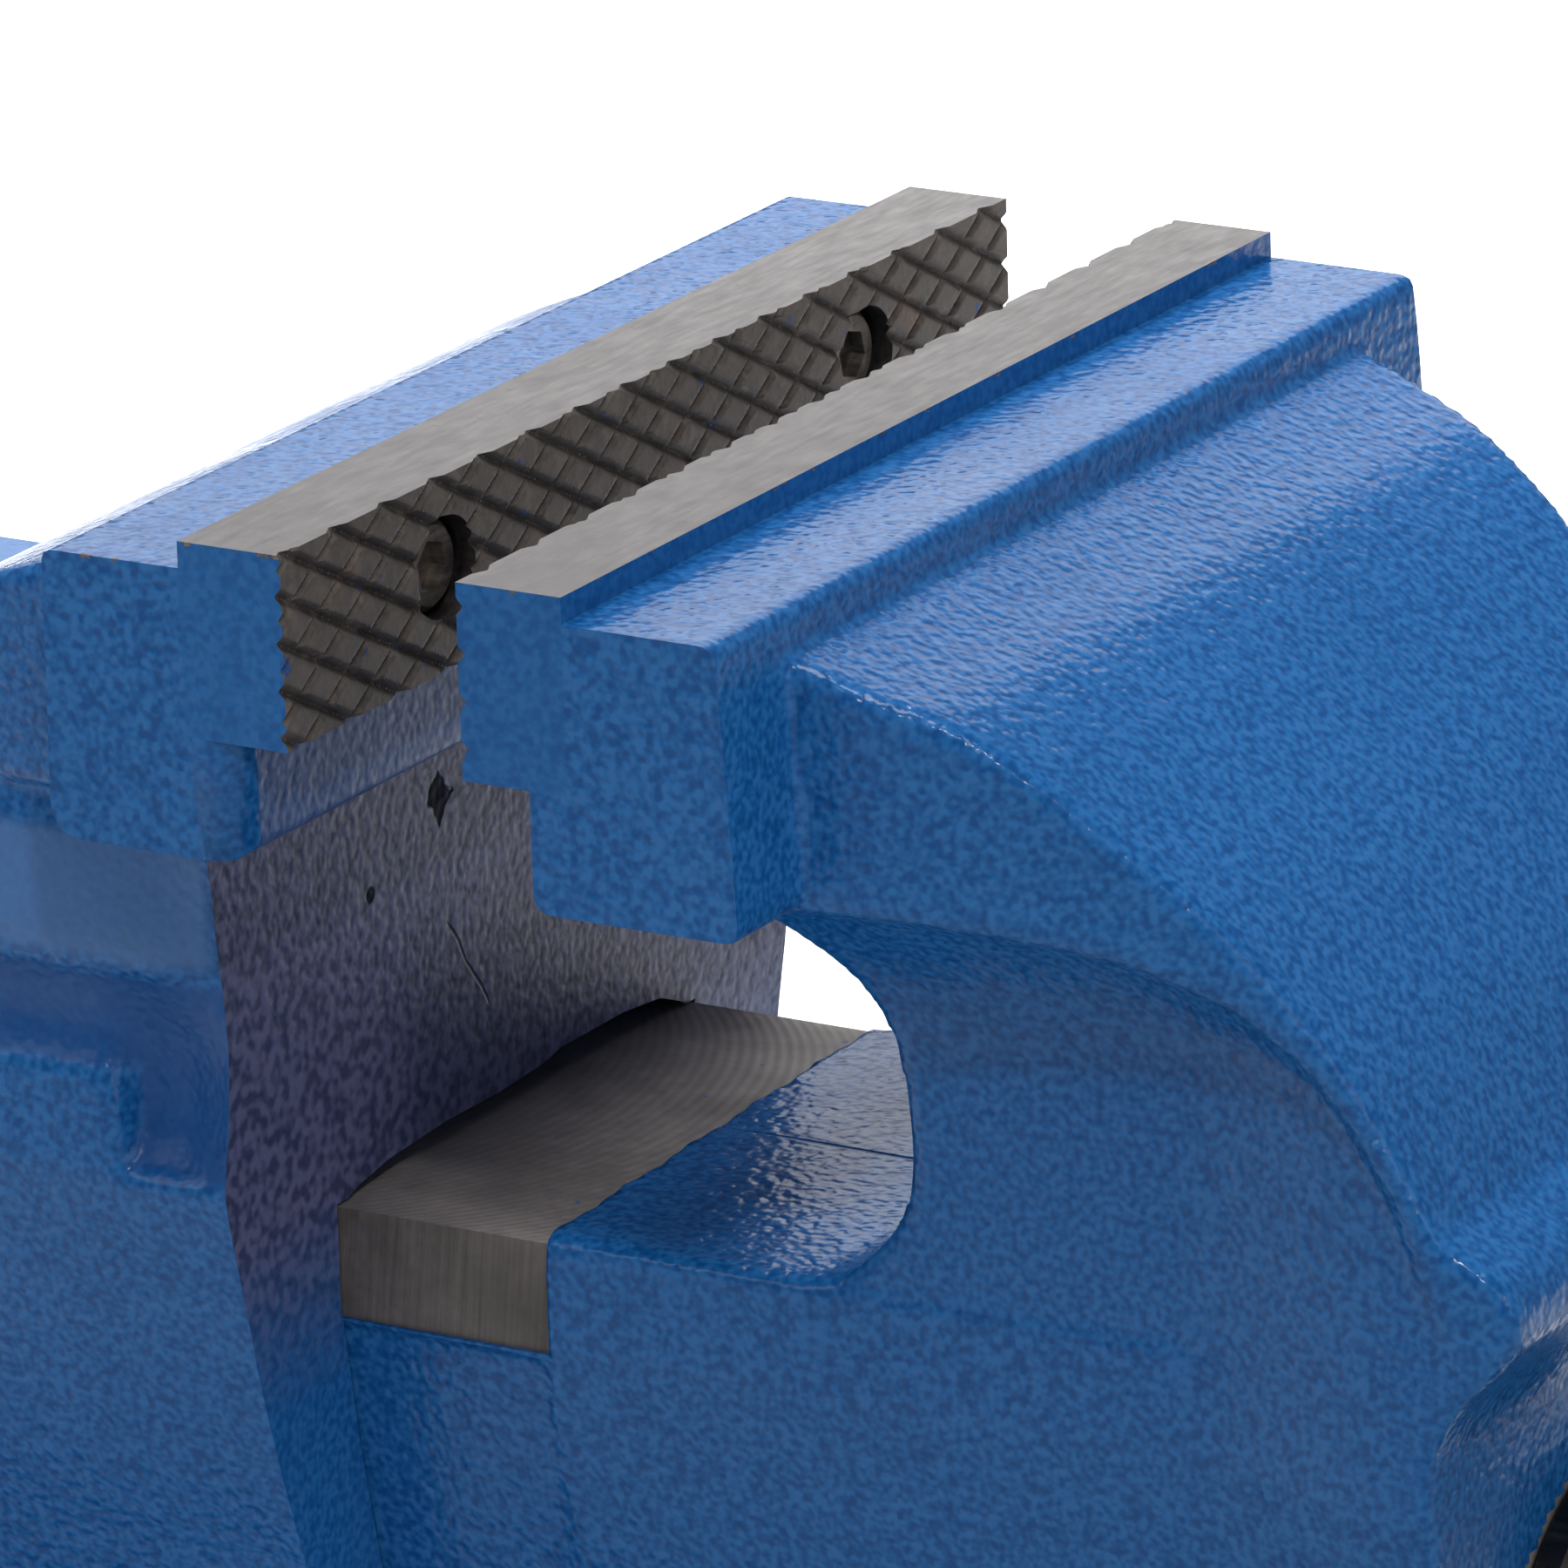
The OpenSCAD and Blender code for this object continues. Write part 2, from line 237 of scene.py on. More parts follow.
def moving_jaw():
    g = Grid(TAIL - 2, 126, HW + 2, -160, 0)
    X, Z = g.XX, g.ZZ
    # hump, web and nose: a side outline whose half width varies over it
    top = spline([(45, -7.4), (51.6, -7.9), (60.2, -10.9), (68, -13.7), (76.5, -18.9), (81.6, -22.9), (85.7, -26.4),
                  (91.4, -31.3), (95.8, -35.8), (99.4, -40.3), (102.8, -44.6), (105.6, -48.6), (108.2, -53.2),
                  (110.9, -58.8), (113.3, -63.9), (114.4, -65.9), (116.2, -67.4), (118.4, -68.8), (120.5, -70.3),
                  (122.0, -72.4), (122.7, -75.2), (122.1, -77.9), (119.9, -80.7), (117.0, -83.7), (114.8, -86.9),
                  (113.4, -90.2), (113, -94)], 4)
    throat = spline([(5, -84.9), (20, -84.9), (34, -84.9), (38.6, -84.5), (42.2, -83.1), (44.9, -80.9), (47.4, -78.1), (49, -75.4),
                     (49.9, -72.6), (50.3, -69.5), (50.2, -66), (49.8, -62.7), (49.2, -59.3), (48.6, -56.1),
                     (47.5, -53.3), (46.0, -50.4), (43.3, -47.0), (39.6, -43.2), (35.6, -39.2), (33.4, -36), (32.6, -31)], 3)
    out = top + rp([(113, -100), (113, -158, 6), (60, -158), (48, -156), (5, -156)], 4)[1:] + throat + [(45, -24)]
    dsil = poly(X, Z, out)
    w = np.interp(X, [20, 52, 60, 76.5, 95, 104, 110, 117, 123], [63.5, 62, 61, 56.2, 50, 46.6, 44.2, 42.6, 41.6])
    zr = np.interp(X, [20, 52, 64.5, 77.4, 85.8, 94.1, 100.5, 105.2, 109.5, 113, 125],
                   [-35.3, -35.3, -35.5, -37, -39, -42.4, -47.6, -54, -62, -72, -95])
    base = np.interp(-Z, [0, 97, 104, 113, 121, 130, 146, 154, 160], [37.8, 37.8, 36.9, 35.5, 33.9, 31.9, 28.2, 25.2, 22])
    flare = ss(80, 111, X) * 4.6 * (1 - 0.35 * ss(100, 150, -Z))
    web = base + flare
    u = zr - Z
    R = np.clip(w - web, 0.2, 30)
    t = np.clip(u / R, 0, 1)
    arc = web + R * (1 - np.sqrt(np.clip(1 - (1 - t) ** 2, 0, 1)))
    W = np.where(u <= 0, w, arc)
    side = g.width(W, 0.7)
    body = smax(g.xz(dsil), side, 1.0)
    # box slide, still with its cast skin; the ways are ground afterwards
    skin = rp([(-36.6, -99.4), (-38, -98.6, 0.6), (-38, -84.9, 3.2), (38, -84.9, 3.2), (38, -98.6, 0.6), (36.6, -99.4)], 4)
    low = [(a, b) for a, b in SECTION[3:-1]]
    skin = skin + low + [(-a, b) for a, b in low[::-1]]
    bar = np.maximum(smax(g.yz(poly(g.YY, g.ZY, skin)), TAIL - 2 - g.X, 0.8), g.X - 60)
    front = g.yz(section(g)) - 0.95 * ss(-6, 15, g.X)
    front = np.maximum(np.maximum(front, g.X - 100), -20 - g.X)
    F = smin(body, front, 0.8)
    F = np.minimum(F, bar)
    # head, its plate seat milled afterwards
    hp = rp([(24, -2.8), (51.0, -2.9, 1.3), (51.9, -14), (53, -34, 1.3), (28.9, -34, 1.8), (28.9, -12), (24, -12)], 5)
    hd = np.maximum(g.xz(poly(X, Z, hp)), g.Y - HW - 1.3)
    F = smin(F, hd, 0.6)
    me = g.mesh(F, "moving_casting")
    o = obj(me, "moving_jaw_casting")
    # ground ways: everything outside the section goes, back to a slightly wavy step
    ys = np.linspace(-46, 46, 93)
    z0, z1, zs, yw = ST, -70.0, -98.5, 37.0
    for rect in (((-46, 46), (z0, z1)), ((yw, 46), (zs, z1 + 3)), ((-46, -yw), (zs, z1 + 3))):
        (ya, yb), (za, zb) = rect
        yy = [y for y in np.linspace(ya, yb, max(8, int((yb - ya) * 1.5)))]
        outl = [(TAIL - 9, yy[0])] + [(step_x(y), y) for y in yy] + [(TAIL - 9, yy[-1])]
        cutaway(o, slab([(x, y) for x, y in outl], "z", za, zb))
    cutaway(o, slab([(-60, -170), (60, -170), (60, -60), (-60, -60)], "x", TAIL - 9, TAIL))
    cutaway(o, slab([(10, -PH), (33.4, -PH), (33.4, 6), (10, 6)], "y", -HW - 6, HW + 6))
    for a, b in ((HW, HW + 9), (-HW - 9, -HW)):
        cutaway(o, slab([(-400, -60), (400, -60), (400, 20), (-400, 20)], "y", a, b))
    # parting line across the floor of the throat
    cutaway(o, slab([(0.15, -85.3), (0.55, -84.2), (-0.25, -84.2)], "x", step_x(0), 44))
    slot = rp([(-18, -170), (-18, -104, 8), (18, -104, 8), (18, -170)], 6)
    cutaway(o, slab(slot, "x", TAIL - 9, 88))
    cutaway(o, rod("x", 12.6, 80, 130, 0, SZ))
    cutaway(o, rod("x", 29.25, 113, 130, 0, SZ, 96))
    for y in (-43.5, 43.5):
        cutaway(o, rod("x", 3.1, 25, 50, y, -10, 32))
    return o


# ------------------------------------------------------------------ fixed casting
def fixed_body():
    g = Grid(-196, -1, 80, -210, 0)
    X, Z = g.XX, g.ZZ
    arc = [(-16 - 5 * math.cos(a), -39 + 5 * math.sin(a)) for a in np.linspace(0.0, math.pi / 2, 9)]
    fil = [(x + 1.6, z - 0.4) for x, z in arc]
    topc = spline([(-24, -7.9), (-30, -8.2), (-36, -9.3), (-45, -11.8), (-56, -16.6), (-66, -23.6), (-75, -31), (-83, -37.8),
                   (-91, -42.6), (-99, -45.2), (-108, -46)], 4)
    rear = rp([(-160, -46), (REAR, -46, 4), (REAR, -196), (NECK + 1.6, -196)], 5)
    out = topc + rear + [(NECK + 1.6, -60)] + fil + [(-7.2, -33), (-8.5, -27), (-20, -12)]
    dsil = poly(X, Z, out)
    hump = np.interp(X, [REAR, -104, -84, -60, -30, -10], [46, 46, 50, 56, 62, 62.6])
    zr = -35.3
    front = np.interp(-Z, [34, 40.6, 44.7, 49, 54, 60, 63, 70, 73, 77.7], [58.8, 59.4, 58.8, 58.2, 57.5, 57.1, 57.0, 57.6, 58.2, 59])
    deep_a = np.interp(-Z, [34, 37, 42, 50, 53.4, 56, 59, 62, 64.5, 66.2],
                       [57.2, 57.6, 58.4, 59.9, 59.9, 58.4, 57.2, 56.9, 57.6, 58.9])
    deep_b = np.interp(-Z, [34, 37, 42, 50, 53.4, 56, 59, 62, 65, 70, 73, 75.5, 77.4],
                       [57.2, 57.6, 58.4, 59.9, 59.9, 58.0, 56.3, 55.0, 54.3, 54.0, 54.5, 55.8, 57.8])
    ka = ss(-36.5, -32.5, X)
    deep = deep_a * (1 - ka) + deep_b * ka
    k = ss(-21.5, -30, X)
    k = np.clip((-20.9 - X) / 7.0, 0, 1) ** 0.7
    neck = front * (1 - k) + deep * k
    rearw = np.interp(-Z, [30, 50, 60, 67], [46, 46, 46.6, 48])
    kr = ss(-84, -100, X)
    neck = neck * (1 - kr) + rearw * kr
    box = np.interp(-Z, [60, 78, 84, 91, 99, 107, 115, 124, 133, 142, 156, 166, 175, 184, 196],
                    [59.0, 58.8, 57.6, 55.8, 54.0, 51.9, 49.4, 46.3, 43.6, 41.4, 38.6, 38.0, 39.0, 42.5, 48])
    ledge = np.where(X > -34.2 - 0.12 * (Z + 72), -77.6, -66.2)
    W = np.where(Z > zr, hump, np.where(Z > ledge, neck, box))
    side = g.width(W, 0.45)
    body = smax(g.xz(dsil), side, 1.2)
    # head, its plate seat milled afterwards
    hp = rp([(-3, -2.8), (-29.2, -2.9, 0.6), (-29.6, -34, 3.4), (-6.4, -34, 1.6), (-6.4, -12), (-3, -12)], 5)
    hd = np.maximum(g.xz(poly(X, Z, hp)), g.Y - HW - 1.3)
    F = smin(body, hd, 0.7)
    # base flange with four bolt pads
    rx, ry, rr = 95.0, 80.0, 24.0
    qx = np.abs(g.X + OX) - (rx - rr)
    qy = g.Y - (ry - rr)
    d2 = np.sqrt(np.maximum(qx, 0) ** 2 + np.maximum(qy, 0) ** 2) + np.minimum(np.maximum(qx, qy), 0) - rr
    flange = smax(d2, g.Z + OZ - 18.2, 4.5)
    for bx in (-75.0, 75.0):
        pad = np.sqrt((g.X + OX - bx) ** 2 + (g.Y - 62) ** 2) - 17.2
        pad = smax(smax(pad, g.Z + OZ - 20, 2.0), d2, 2.0)
        flange = smin(flange, pad, 3.0)
    F = smin(F, flange, 11.0)
    me = g.mesh(F, "fixed_casting")
    o = obj(me, "fixed_jaw_casting")
    cutaway(o, slab([(-400, -200), (400, -200), (400, 200), (-400, 200)], "z", -OZ - 30, -OZ))
    ch = [(a + 0.35 * (1 if a > 0 else -1), b + (0.35 if b > -150 else -0.35)) for a, b in SECTION[1:-1]]
    ch = ch + [(-a, b) for a, b in ch[::-1]]
    cutaway(o, slab(ch, "x", REAR - 20, 0))
    mouth = [(-36.2, -90), (-36.2, -86), (-33, -84.9), (-27, -83.9), (-15, -83.3), (-4, -83.5), (5, -83.1), (9, -82.4),
             (22, -82.5), (30, -83.3), (34, -84.9), (36.2, -86), (36.2, -90)]
    cutaway(o, slab(mouth, "x", -29, 0))
    cutaway(o, slab([(-PT, -PH), (9, -PH), (9, 6), (-PT, 6)], "y", -HW - 6, HW + 6))
    for a, b in ((HW, HW + 9), (-HW - 9, -HW)):
        cutaway(o, slab([(-40, -50), (40, -50), (40, 20), (-40, 20)], "y", a, b))
    for sy in (-1, 1):
        rnd = [(-10.4 + 4 * math.sin(a), sy * (71 + 4 * math.cos(a))) for a in np.linspace(0, math.pi / 2, 9)]
        rnd = rnd + [(-4.0, sy * 71), (-4.0, sy * 80), (-10.4, sy * 80)]
        cutaway(o, slab(rnd if sy < 0 else rnd[::-1], "z", -39, -PH))
    # the neck's front, with its cove under the head, is a clean casting face
    cutaway(o, slab([(NECK + 1.9, -177.5), (NECK, -171)] + arc + [(12, -34), (12, -177.5)], "y", -HW - 9, HW + 9))
    for y in (-43.5, 43.5):
        cutaway(o, rod("x", 3.1, -34, -8, y, -10, 32))
    for bx in (-75.0, 75.0):
        for by in (-62, 62):
            cutaway(o, rod("z", 7.0, -OZ - 9, -OZ + 40, bx - OX, by))
            cutaway(o, rod("z", 14.0, -OZ + 18.5, -OZ + 34, bx - OX, by))
    cutaway(o, rod("z", 6.5, -OZ - 9, -148, -65, 0))
    cutaway(o, rod("z", 13.0, -OZ - 9, -180, -65, 0))
    for dx in (-17, 17):
        cutaway(o, rod("z", 4.05, -172, -150, -65 + dx, 0, 32))
    return o


# ------------------------------------------------------------------ mesh helpers
def finish_mesh(me, mats, smooth=True):
    for m in mats:
        me.materials.append(m)
    n = len(me.vertices)
    co = np.empty(n * 3)
    me.vertices.foreach_get("co", co)
    co = row(co.reshape(-1, 3))
    me.vertices.foreach_set("co", co.ravel())
    if smooth:
        me.polygons.foreach_set("use_smooth", [True] * len(me.polygons))
    me.update()
    return me


def obj(me, name):
    o = bpy.data.objects.new(name, me)
    bpy.context.scene.collection.objects.link(o)
    return o


def lathe(profile, axis, centre, seg=64, name="lathe", closed=False):
    """A turned solid. profile is a list of (along, radius) from one end to the other."""
    a = Vector(axis).normalized()
    u = a.orthogonal().normalized()
    v = a.cross(u)
    c = Vector(centre)
    bm = bmesh.new()
    rings = []
    for s, r in profile:
        if r < 1e-6:
            rings.append([bm.verts.new(c + a * s)])
        else:
            rings.append([bm.verts.new(c + a * s + (u * math.cos(t) + v * math.sin(t)) * r)
                          for t in [2 * math.pi * k / seg for k in range(seg)]])
    pairs = list(zip(rings, rings[1:]))
    if closed:
        pairs.append((rings[-1], rings[0]))
    for A, B in pairs:
        for k in range(seg):
            j = (k + 1) % seg
            if len(A) == 1 and len(B) > 1:
                bm.faces.new((A[0], B[j], B[k]))
            elif len(B) == 1 and len(A) > 1:
                bm.faces.new((A[k], A[j], B[0]))
            elif len(A) > 1:
                bm.faces.new((A[k], A[j], B[j], B[k]))
    bmesh.ops.recalc_face_normals(bm, faces=bm.faces)
    me = bpy.data.meshes.new(name)
    bm.to_mesh(me)
    bm.free()
    return me


def slab(outline, axis, a0, a1):
    """A closed prism. axis x takes (y, z) points, y takes (x, z), z takes (x, y)."""
    def at(p, a):
        return {"x": (a, p[0], p[1]), "y": (p[0], a, p[1]), "z": (p[0], p[1], a)}[axis]
    bm = bmesh.new()
    A = [bm.verts.new(at(p, a0)) for p in outline]
    B = [bm.verts.new(at(p, a1)) for p in outline]
    n = len(A)
    for i in range(n):
        bm.faces.new((A[i], A[(i + 1) % n], B[(i + 1) % n], B[i]))
    bm.faces.new(A[::-1])
    bm.faces.new(B)
    bmesh.ops.triangulate(bm, faces=[f for f in bm.faces if len(f.verts) > 4])
    bmesh.ops.recalc_face_normals(bm, faces=bm.faces)
    me = bpy.data.meshes.new("slab")
    bm.to_mesh(me)
    bm.free()
    return me


def rod(axis, r, a0, a1, p, q, seg=64):
    c = {"x": (0, p, q), "y": (p, 0, q), "z": (p, q, 0)}[axis]
    d = {"x": (1, 0, 0), "y": (0, 1, 0), "z": (0, 0, 1)}[axis]
    return lathe([(a0, 0), (a0, r), (a1, r), (a1, 0)], d, c, seg)


def cutaway(o, me):
    """Machines a clean shape out of a casting."""
    c = obj(me, "cutter")
    n0 = len(o.data.polygons)
    m = o.modifiers.new("b", "BOOLEAN")
    m.operation = "DIFFERENCE"
    m.solver = "MANIFOLD"
    m.object = c
    dg = bpy.context.evaluated_depsgraph_get()
    res = bpy.data.meshes.new_from_object(o.evaluated_get(dg))
    if len(res.polygons) < n0 * 0.3:
        m.solver = "EXACT"
        dg = bpy.context.evaluated_depsgraph_get()
        res = bpy.data.meshes.new_from_object(o.evaluated_get(dg))
        print("exact cut", o.name)
    o.modifiers.clear()
    o.data = res
    bpy.data.objects.remove(c)


def mark(me, test, index):
    for f in me.polygons:
        if test(f.center, f.normal):
            f.material_index = index


def crease(me, deg=30):
    """Creases where the finish changes and on machined corners only."""
    bm = bmesh.new()
    bm.from_mesh(me)
    lim = math.radians(deg)
    for e in bm.edges:
        L = e.link_faces
        if len(L) == 2:
            a, b = L[0].material_index, L[1].material_index
            e.smooth = not (e.calc_face_angle(0) > lim and (a or b)) or (a == b == 3)
    for f in bm.faces:
        f.smooth = True
    bm.to_mesh(me)
    bm.free()


def boolean(target, cutter, op="DIFFERENCE"):
    m = target.modifiers.new("b", "BOOLEAN")
    m.operation = op
    m.solver = "EXACT"
    m.object = cutter
    dg = bpy.context.evaluated_depsgraph_get()
    me = bpy.data.meshes.new_from_object(target.evaluated_get(dg))
    target.modifiers.clear()
    target.data = me
    bpy.data.objects.remove(cutter)


def sharp(me, deg=32):
    """Smooth shading with creases kept above an angle."""
    bm = bmesh.new()
    bm.from_mesh(me)
    lim = math.radians(deg)
    for e in bm.edges:
        e.smooth = not (len(e.link_faces) == 2 and e.calc_face_angle(0) > lim)
    for f in bm.faces:
        f.smooth = True
    bm.to_mesh(me)
    bm.free()


# ------------------------------------------------------------------ materials
class Mat:
    def __init__(s, name):
        s.m = bpy.data.materials.new(name)
        s.m.use_nodes = True
        s.t = s.m.node_tree
        s.t.nodes.clear()
        s.out = s.t.nodes.new("ShaderNodeOutputMaterial")
        s.b = s.t.nodes.new("ShaderNodeBsdfPrincipled")
        s.t.links.new(s.b.outputs[0], s.out.inputs[0])
        s.co = s.t.nodes.new("ShaderNodeTexCoord").outputs["Object"]

    def set(s, **k):
        for a, v in k.items():
            s.b.inputs[a.replace("_", " ")].default_value = v
        return s

    def link(s, a, b):
        s.t.links.new(a, b)

    def n(s, kind, **k):
        x = s.t.nodes.new("ShaderNode" + kind)
        for a, v in k.items():
            setattr(x, a, v)
        return x

    def mapping(s, scale=(1, 1, 1), rot=(0, 0, 0), loc=(0, 0, 0), src=None):
        x = s.n("Mapping")
        x.inputs["Scale"].default_value = scale
        x.inputs["Rotation"].default_value = rot
        x.inputs["Location"].default_value = loc
        s.link(src or s.co, x.inputs["Vector"])
        return x.outputs[0]

    def noise(s, scale, detail=2.0, rough=0.5, src=None, dist=0.0):
        x = s.n("TexNoise")
        x.inputs["Scale"].default_value = scale
        x.inputs["Detail"].default_value = detail
        x.inputs["Roughness"].default_value = rough
        x.inputs["Distortion"].default_value = dist
        s.link(src or s.co, x.inputs["Vector"])
        return x.outputs["Fac"]

    def voronoi(s, scale, feature="SMOOTH_F1", smooth=0.6, src=None, rnd=1.0):
        x = s.n("TexVoronoi", feature=feature)
        x.inputs["Scale"].default_value = scale
        x.inputs["Randomness"].default_value = rnd
        if feature == "SMOOTH_F1":
            x.inputs["Smoothness"].default_value = smooth
        s.link(src or s.co, x.inputs["Vector"])
        return x.outputs["Distance"]

    def math(s, op, a, b=0.5, clamp=False):
        x = s.n("Math", operation=op)
        x.use_clamp = clamp
        for i, v in enumerate((a, b)):
            if isinstance(v, (int, float)):
                x.inputs[i].default_value = v
            else:
                s.link(v, x.inputs[i])
        return x.outputs[0]

    def ramp(s, fac, stops, interp="LINEAR"):
        x = s.n("ValToRGB")
        x.color_ramp.interpolation = interp
        el = x.color_ramp.elements
        while len(el) > 1:
            el.remove(el[-1])
        el[0].position, el[0].color = stops[0][0], col(stops[0][1])
        for p, c in stops[1:]:
            e = el.new(p)
            e.color = col(c)
        s.link(fac, x.inputs[0])
        return x.outputs[0]

    def mix(s, fac, a, b, blend="MIX"):
        x = s.n("Mix", data_type="RGBA", blend_type=blend)
        for i, v in ((0, fac), (6, a), (7, b)):
            if isinstance(v, (int, float)):
                x.inputs[i].default_value = v if i == 0 else col(v)
            elif isinstance(v, tuple):
                x.inputs[i].default_value = col(v)
            else:
                s.link(v, x.inputs[i])
        return x.outputs[2]

    def bump(s, height, dist, strength=1.0, normal=None):
        x = s.n("Bump")
        x.inputs["Distance"].default_value = dist
        x.inputs["Strength"].default_value = strength
        s.link(height, x.inputs["Height"])
        if normal is not None:
            s.link(normal, x.inputs["Normal"])
        s.last = x.outputs[0]
        return x.outputs[0]

    def to(s, out, name):
        s.link(out, s.b.inputs[name])


def col(c):
    if isinstance(c, (int, float)):
        return (c, c, c, 1)
    return tuple(c) if len(c) == 4 else tuple(c) + (1,)


def xyz(m):
    """Object coordinates in shop millimetres."""
    x = m.n("SeparateXYZ")
    m.link(m.co, x.inputs[0])
    X = m.math("SUBTRACT", m.math("MULTIPLY", x.outputs[0], 1000.0), OX)
    Y = m.math("MULTIPLY", x.outputs[1], 1000.0)
    Z = m.math("SUBTRACT", m.math("MULTIPLY", x.outputs[2], 1000.0), OZ)
    return X, Y, Z


def window(m, v, a, b, soft):
    """1 where a < v < b, with soft ends."""
    lo = m.math("DIVIDE", m.math("SUBTRACT", v, a), soft, True)
    hi = m.math("DIVIDE", m.math("SUBTRACT", b, v), soft, True)
    return m.math("MULTIPLY", lo, hi)


def paint(name, peel=1.0, bare=(), painted_light_and_shade=(), rough=(0.15, 0.25), level=0.27, neck=False, edges=False):
    """Thick glossy enamel with an orange-peel skin. bare: strips where metal shows; painted_light_and_shade: patches
    recoloured paler or darker to paint light and shade.
    """
    m = Mat(name)
    m.set(IOR=1.5)
    m.b.inputs["Specular IOR Level"].default_value = level
    X, Y, Z = xyz(m)
    big = m.noise(11, 3)
    warp = m.noise(660, 0.6, 0.5)
    fine = m.noise(1700, 0.5, 0.5)
    spots = m.noise(1060, 0.4, 0.5)
    both = m.math("ADD", m.math("MULTIPLY", spots, 0.72), m.math("MULTIPLY", fine, 0.28))
    h = m.math("ADD", m.math("MULTIPLY", warp, 0.70), m.math("MULTIPLY", spots, 0.40))
    c = m.ramp(big, [(0.3, (0.0080, 0.099, 0.305)), (0.7, (0.0110, 0.114, 0.345))])
    # the orange peel is partly drawn in colour: its pits are darkened and the ground between them lightened, painted
    # shade standing in for the skin's own shading
    peel_shading = m.ramp(both, [(0.34, (0.40, 0.64, 0.74)), (0.48, (0.9, 0.96, 0.98)), (0.64, (2.2, 1.32, 1.20))])
    c = m.mix(0.9 * peel + 0.05, c, peel_shading, "MULTIPLY")
    r = m.ramp(m.noise(60, 3), [(0.3, rough[0]), (0.7, rough[1])])
    # painted light and shade: these patches lift the colour where a band catches light and deepen it where a pocket
    # lies in shade
    for (x0, x1), (y0, y1), (z0, z1), soft, tint, amount in painted_light_and_shade:
        k = m.math("MULTIPLY", window(m, X, x0, x1, soft), window(m, Z, z0, z1, soft))
        k = m.math("MULTIPLY", k, window(m, Y, y0, y1, soft))
        c = m.mix(m.math("MULTIPLY", k, amount), c, tint)
        r = m.mix(m.math("MULTIPLY", k, amount), r, 0.42)
    if neck:
        # towards the top the neck's front is greyed and its bump calmed on a rougher paint: the grey is painted
        # reflection of grey surroundings and its speckle painted shade
        k = m.math("DIVIDE", m.math("ADD", Z, 106.0), 22.0, True)
        k = m.math("MULTIPLY", k, m.math("SUBTRACT", 1.0, m.math("MULTIPLY", m.math("GREATER_THAN", X, -12.0), 0.55)))
        grey = m.mix(0.9, (0.074, 0.086, 0.185), m.ramp(warp, [(0.38, (0.38, 0.43, 0.55)), (0.60, (1.4, 1.32, 1.2))]), "MULTIPLY")
        c = m.mix(k, c, grey)
        r = m.mix(k, r, 0.46)
        h = m.mix(k, m.math("MULTIPLY", h, 0.4), h)
        # casting marks: a dark blob, a pinhole and a hairline
        dy, dz = m.math("DIVIDE", m.math("ADD", Y, 14.2), 2.7), m.math("DIVIDE", m.math("ADD", Z, 46.7), 3.4)
        d1 = m.math("ADD", m.math("ABSOLUTE", dy, 0.0), m.math("ABSOLUTE", dz, 0.0))
        d1 = m.math("ADD", d1, m.math("MULTIPLY", m.math("SUBTRACT", m.noise(330, 2), 0.5), 1.1))
        b1 = m.ramp(d1, [(0.85, 1.0), (1.0, 0.0)])
        ey, ez = m.math("ADD", Y, 28.4), m.math("ADD", Z, 53.5)
        d2 = m.math("SQRT", m.math("ADD", m.math("MULTIPLY", ey, ey), m.math("MULTIPLY", ez, ez)))
        b2 = m.ramp(d2, [(0.75, 1.0), (1.0, 0.0)])
        ln = m.math("ADD", m.math("MULTIPLY", m.math("ADD", Y, 13.1), 0.842), m.math("MULTIPLY", m.math("ADD", Z, 61.3), 0.540))
        ln = m.math("ADD", ln, m.math("MULTIPLY", m.math("SUBTRACT", m.noise(200, 2), 0.5), 1.4))
        b3 = m.math("MULTIPLY", window(m, ln, -0.30, 0.30, 0.2), window(m, Z, -73, -61, 0.8))
        blot = m.math("MAXIMUM", m.math("MAXIMUM", b1, b2), m.math("MULTIPLY", b3, 0.75))
        c = m.mix(blot, c, (0.005, 0.008, 0.022))
        pore = m.math("MULTIPLY", k, m.ramp(both, [(0.36, 0.55), (0.50, 0.0)]))
        m.to(m.mix(m.math("MAXIMUM", blot, pore), level, 0.02), "Specular IOR Level")
        h = m.math("SUBTRACT", h, m.math("MULTIPLY", blot, 1.0))
    if edges:
        # painted highlight: pale dots along the hump's sharp ridge stand in for glints of light
        pt = m.ramp(m.n("NewGeometry").outputs["Pointiness"], [(0.540, 0.0), (0.570, 1.0)])
        k = m.math("MULTIPLY", pt, m.math("MULTIPLY", window(m, X, 53.5, 128, 0.5), window(m, Y, -66, 66, 1.0)))
        k = m.math("MULTIPLY", k, window(m, Z, -74, 0, 2.0))
        k = m.math("MULTIPLY", k, m.ramp(m.noise(950, 1.0, 0.5), [(0.55, 0.0), (0.63, 0.8)]))
        c = m.mix(k, c, (0.50, 0.70, 0.95))
    if bare:
        mask = None
        for (x0, x1), (y0, y1), (z0, z1), cut in bare:
            k = m.math("MULTIPLY", window(m, X, x0, x1, 0.35), window(m, Z, z0, z1, 0.30))
            k = m.math("MULTIPLY", k, window(m, Y, y0, y1, 0.35))
            ns = m.ramp(m.noise(330, 4, 0.7), [(cut, 0.0), (cut + 0.04, 1.0)])
            k = m.math("MULTIPLY", k, ns)
            mask = k if mask is None else m.math("MAXIMUM", mask, k)
        mask = m.ramp(mask, [(0.30, 0.0), (0.50, 1.0)])
        rust = m.ramp(m.noise(700, 3, 0.6), [(0.3, (0.10, 0.060, 0.035)), (0.7, (0.24, 0.18, 0.13))])
        c = m.mix(mask, c, rust)
        r = m.mix(mask, r, 0.55)
        h = m.math("SUBTRACT", h, m.math("MULTIPLY", mask, 0.6))
    m.to(c, "Base Color")
    m.to(r, "Roughness")
    m.to(m.bump(h, 0.00024 * peel + 0.00002, 1.0), "Normal")
    return m.m


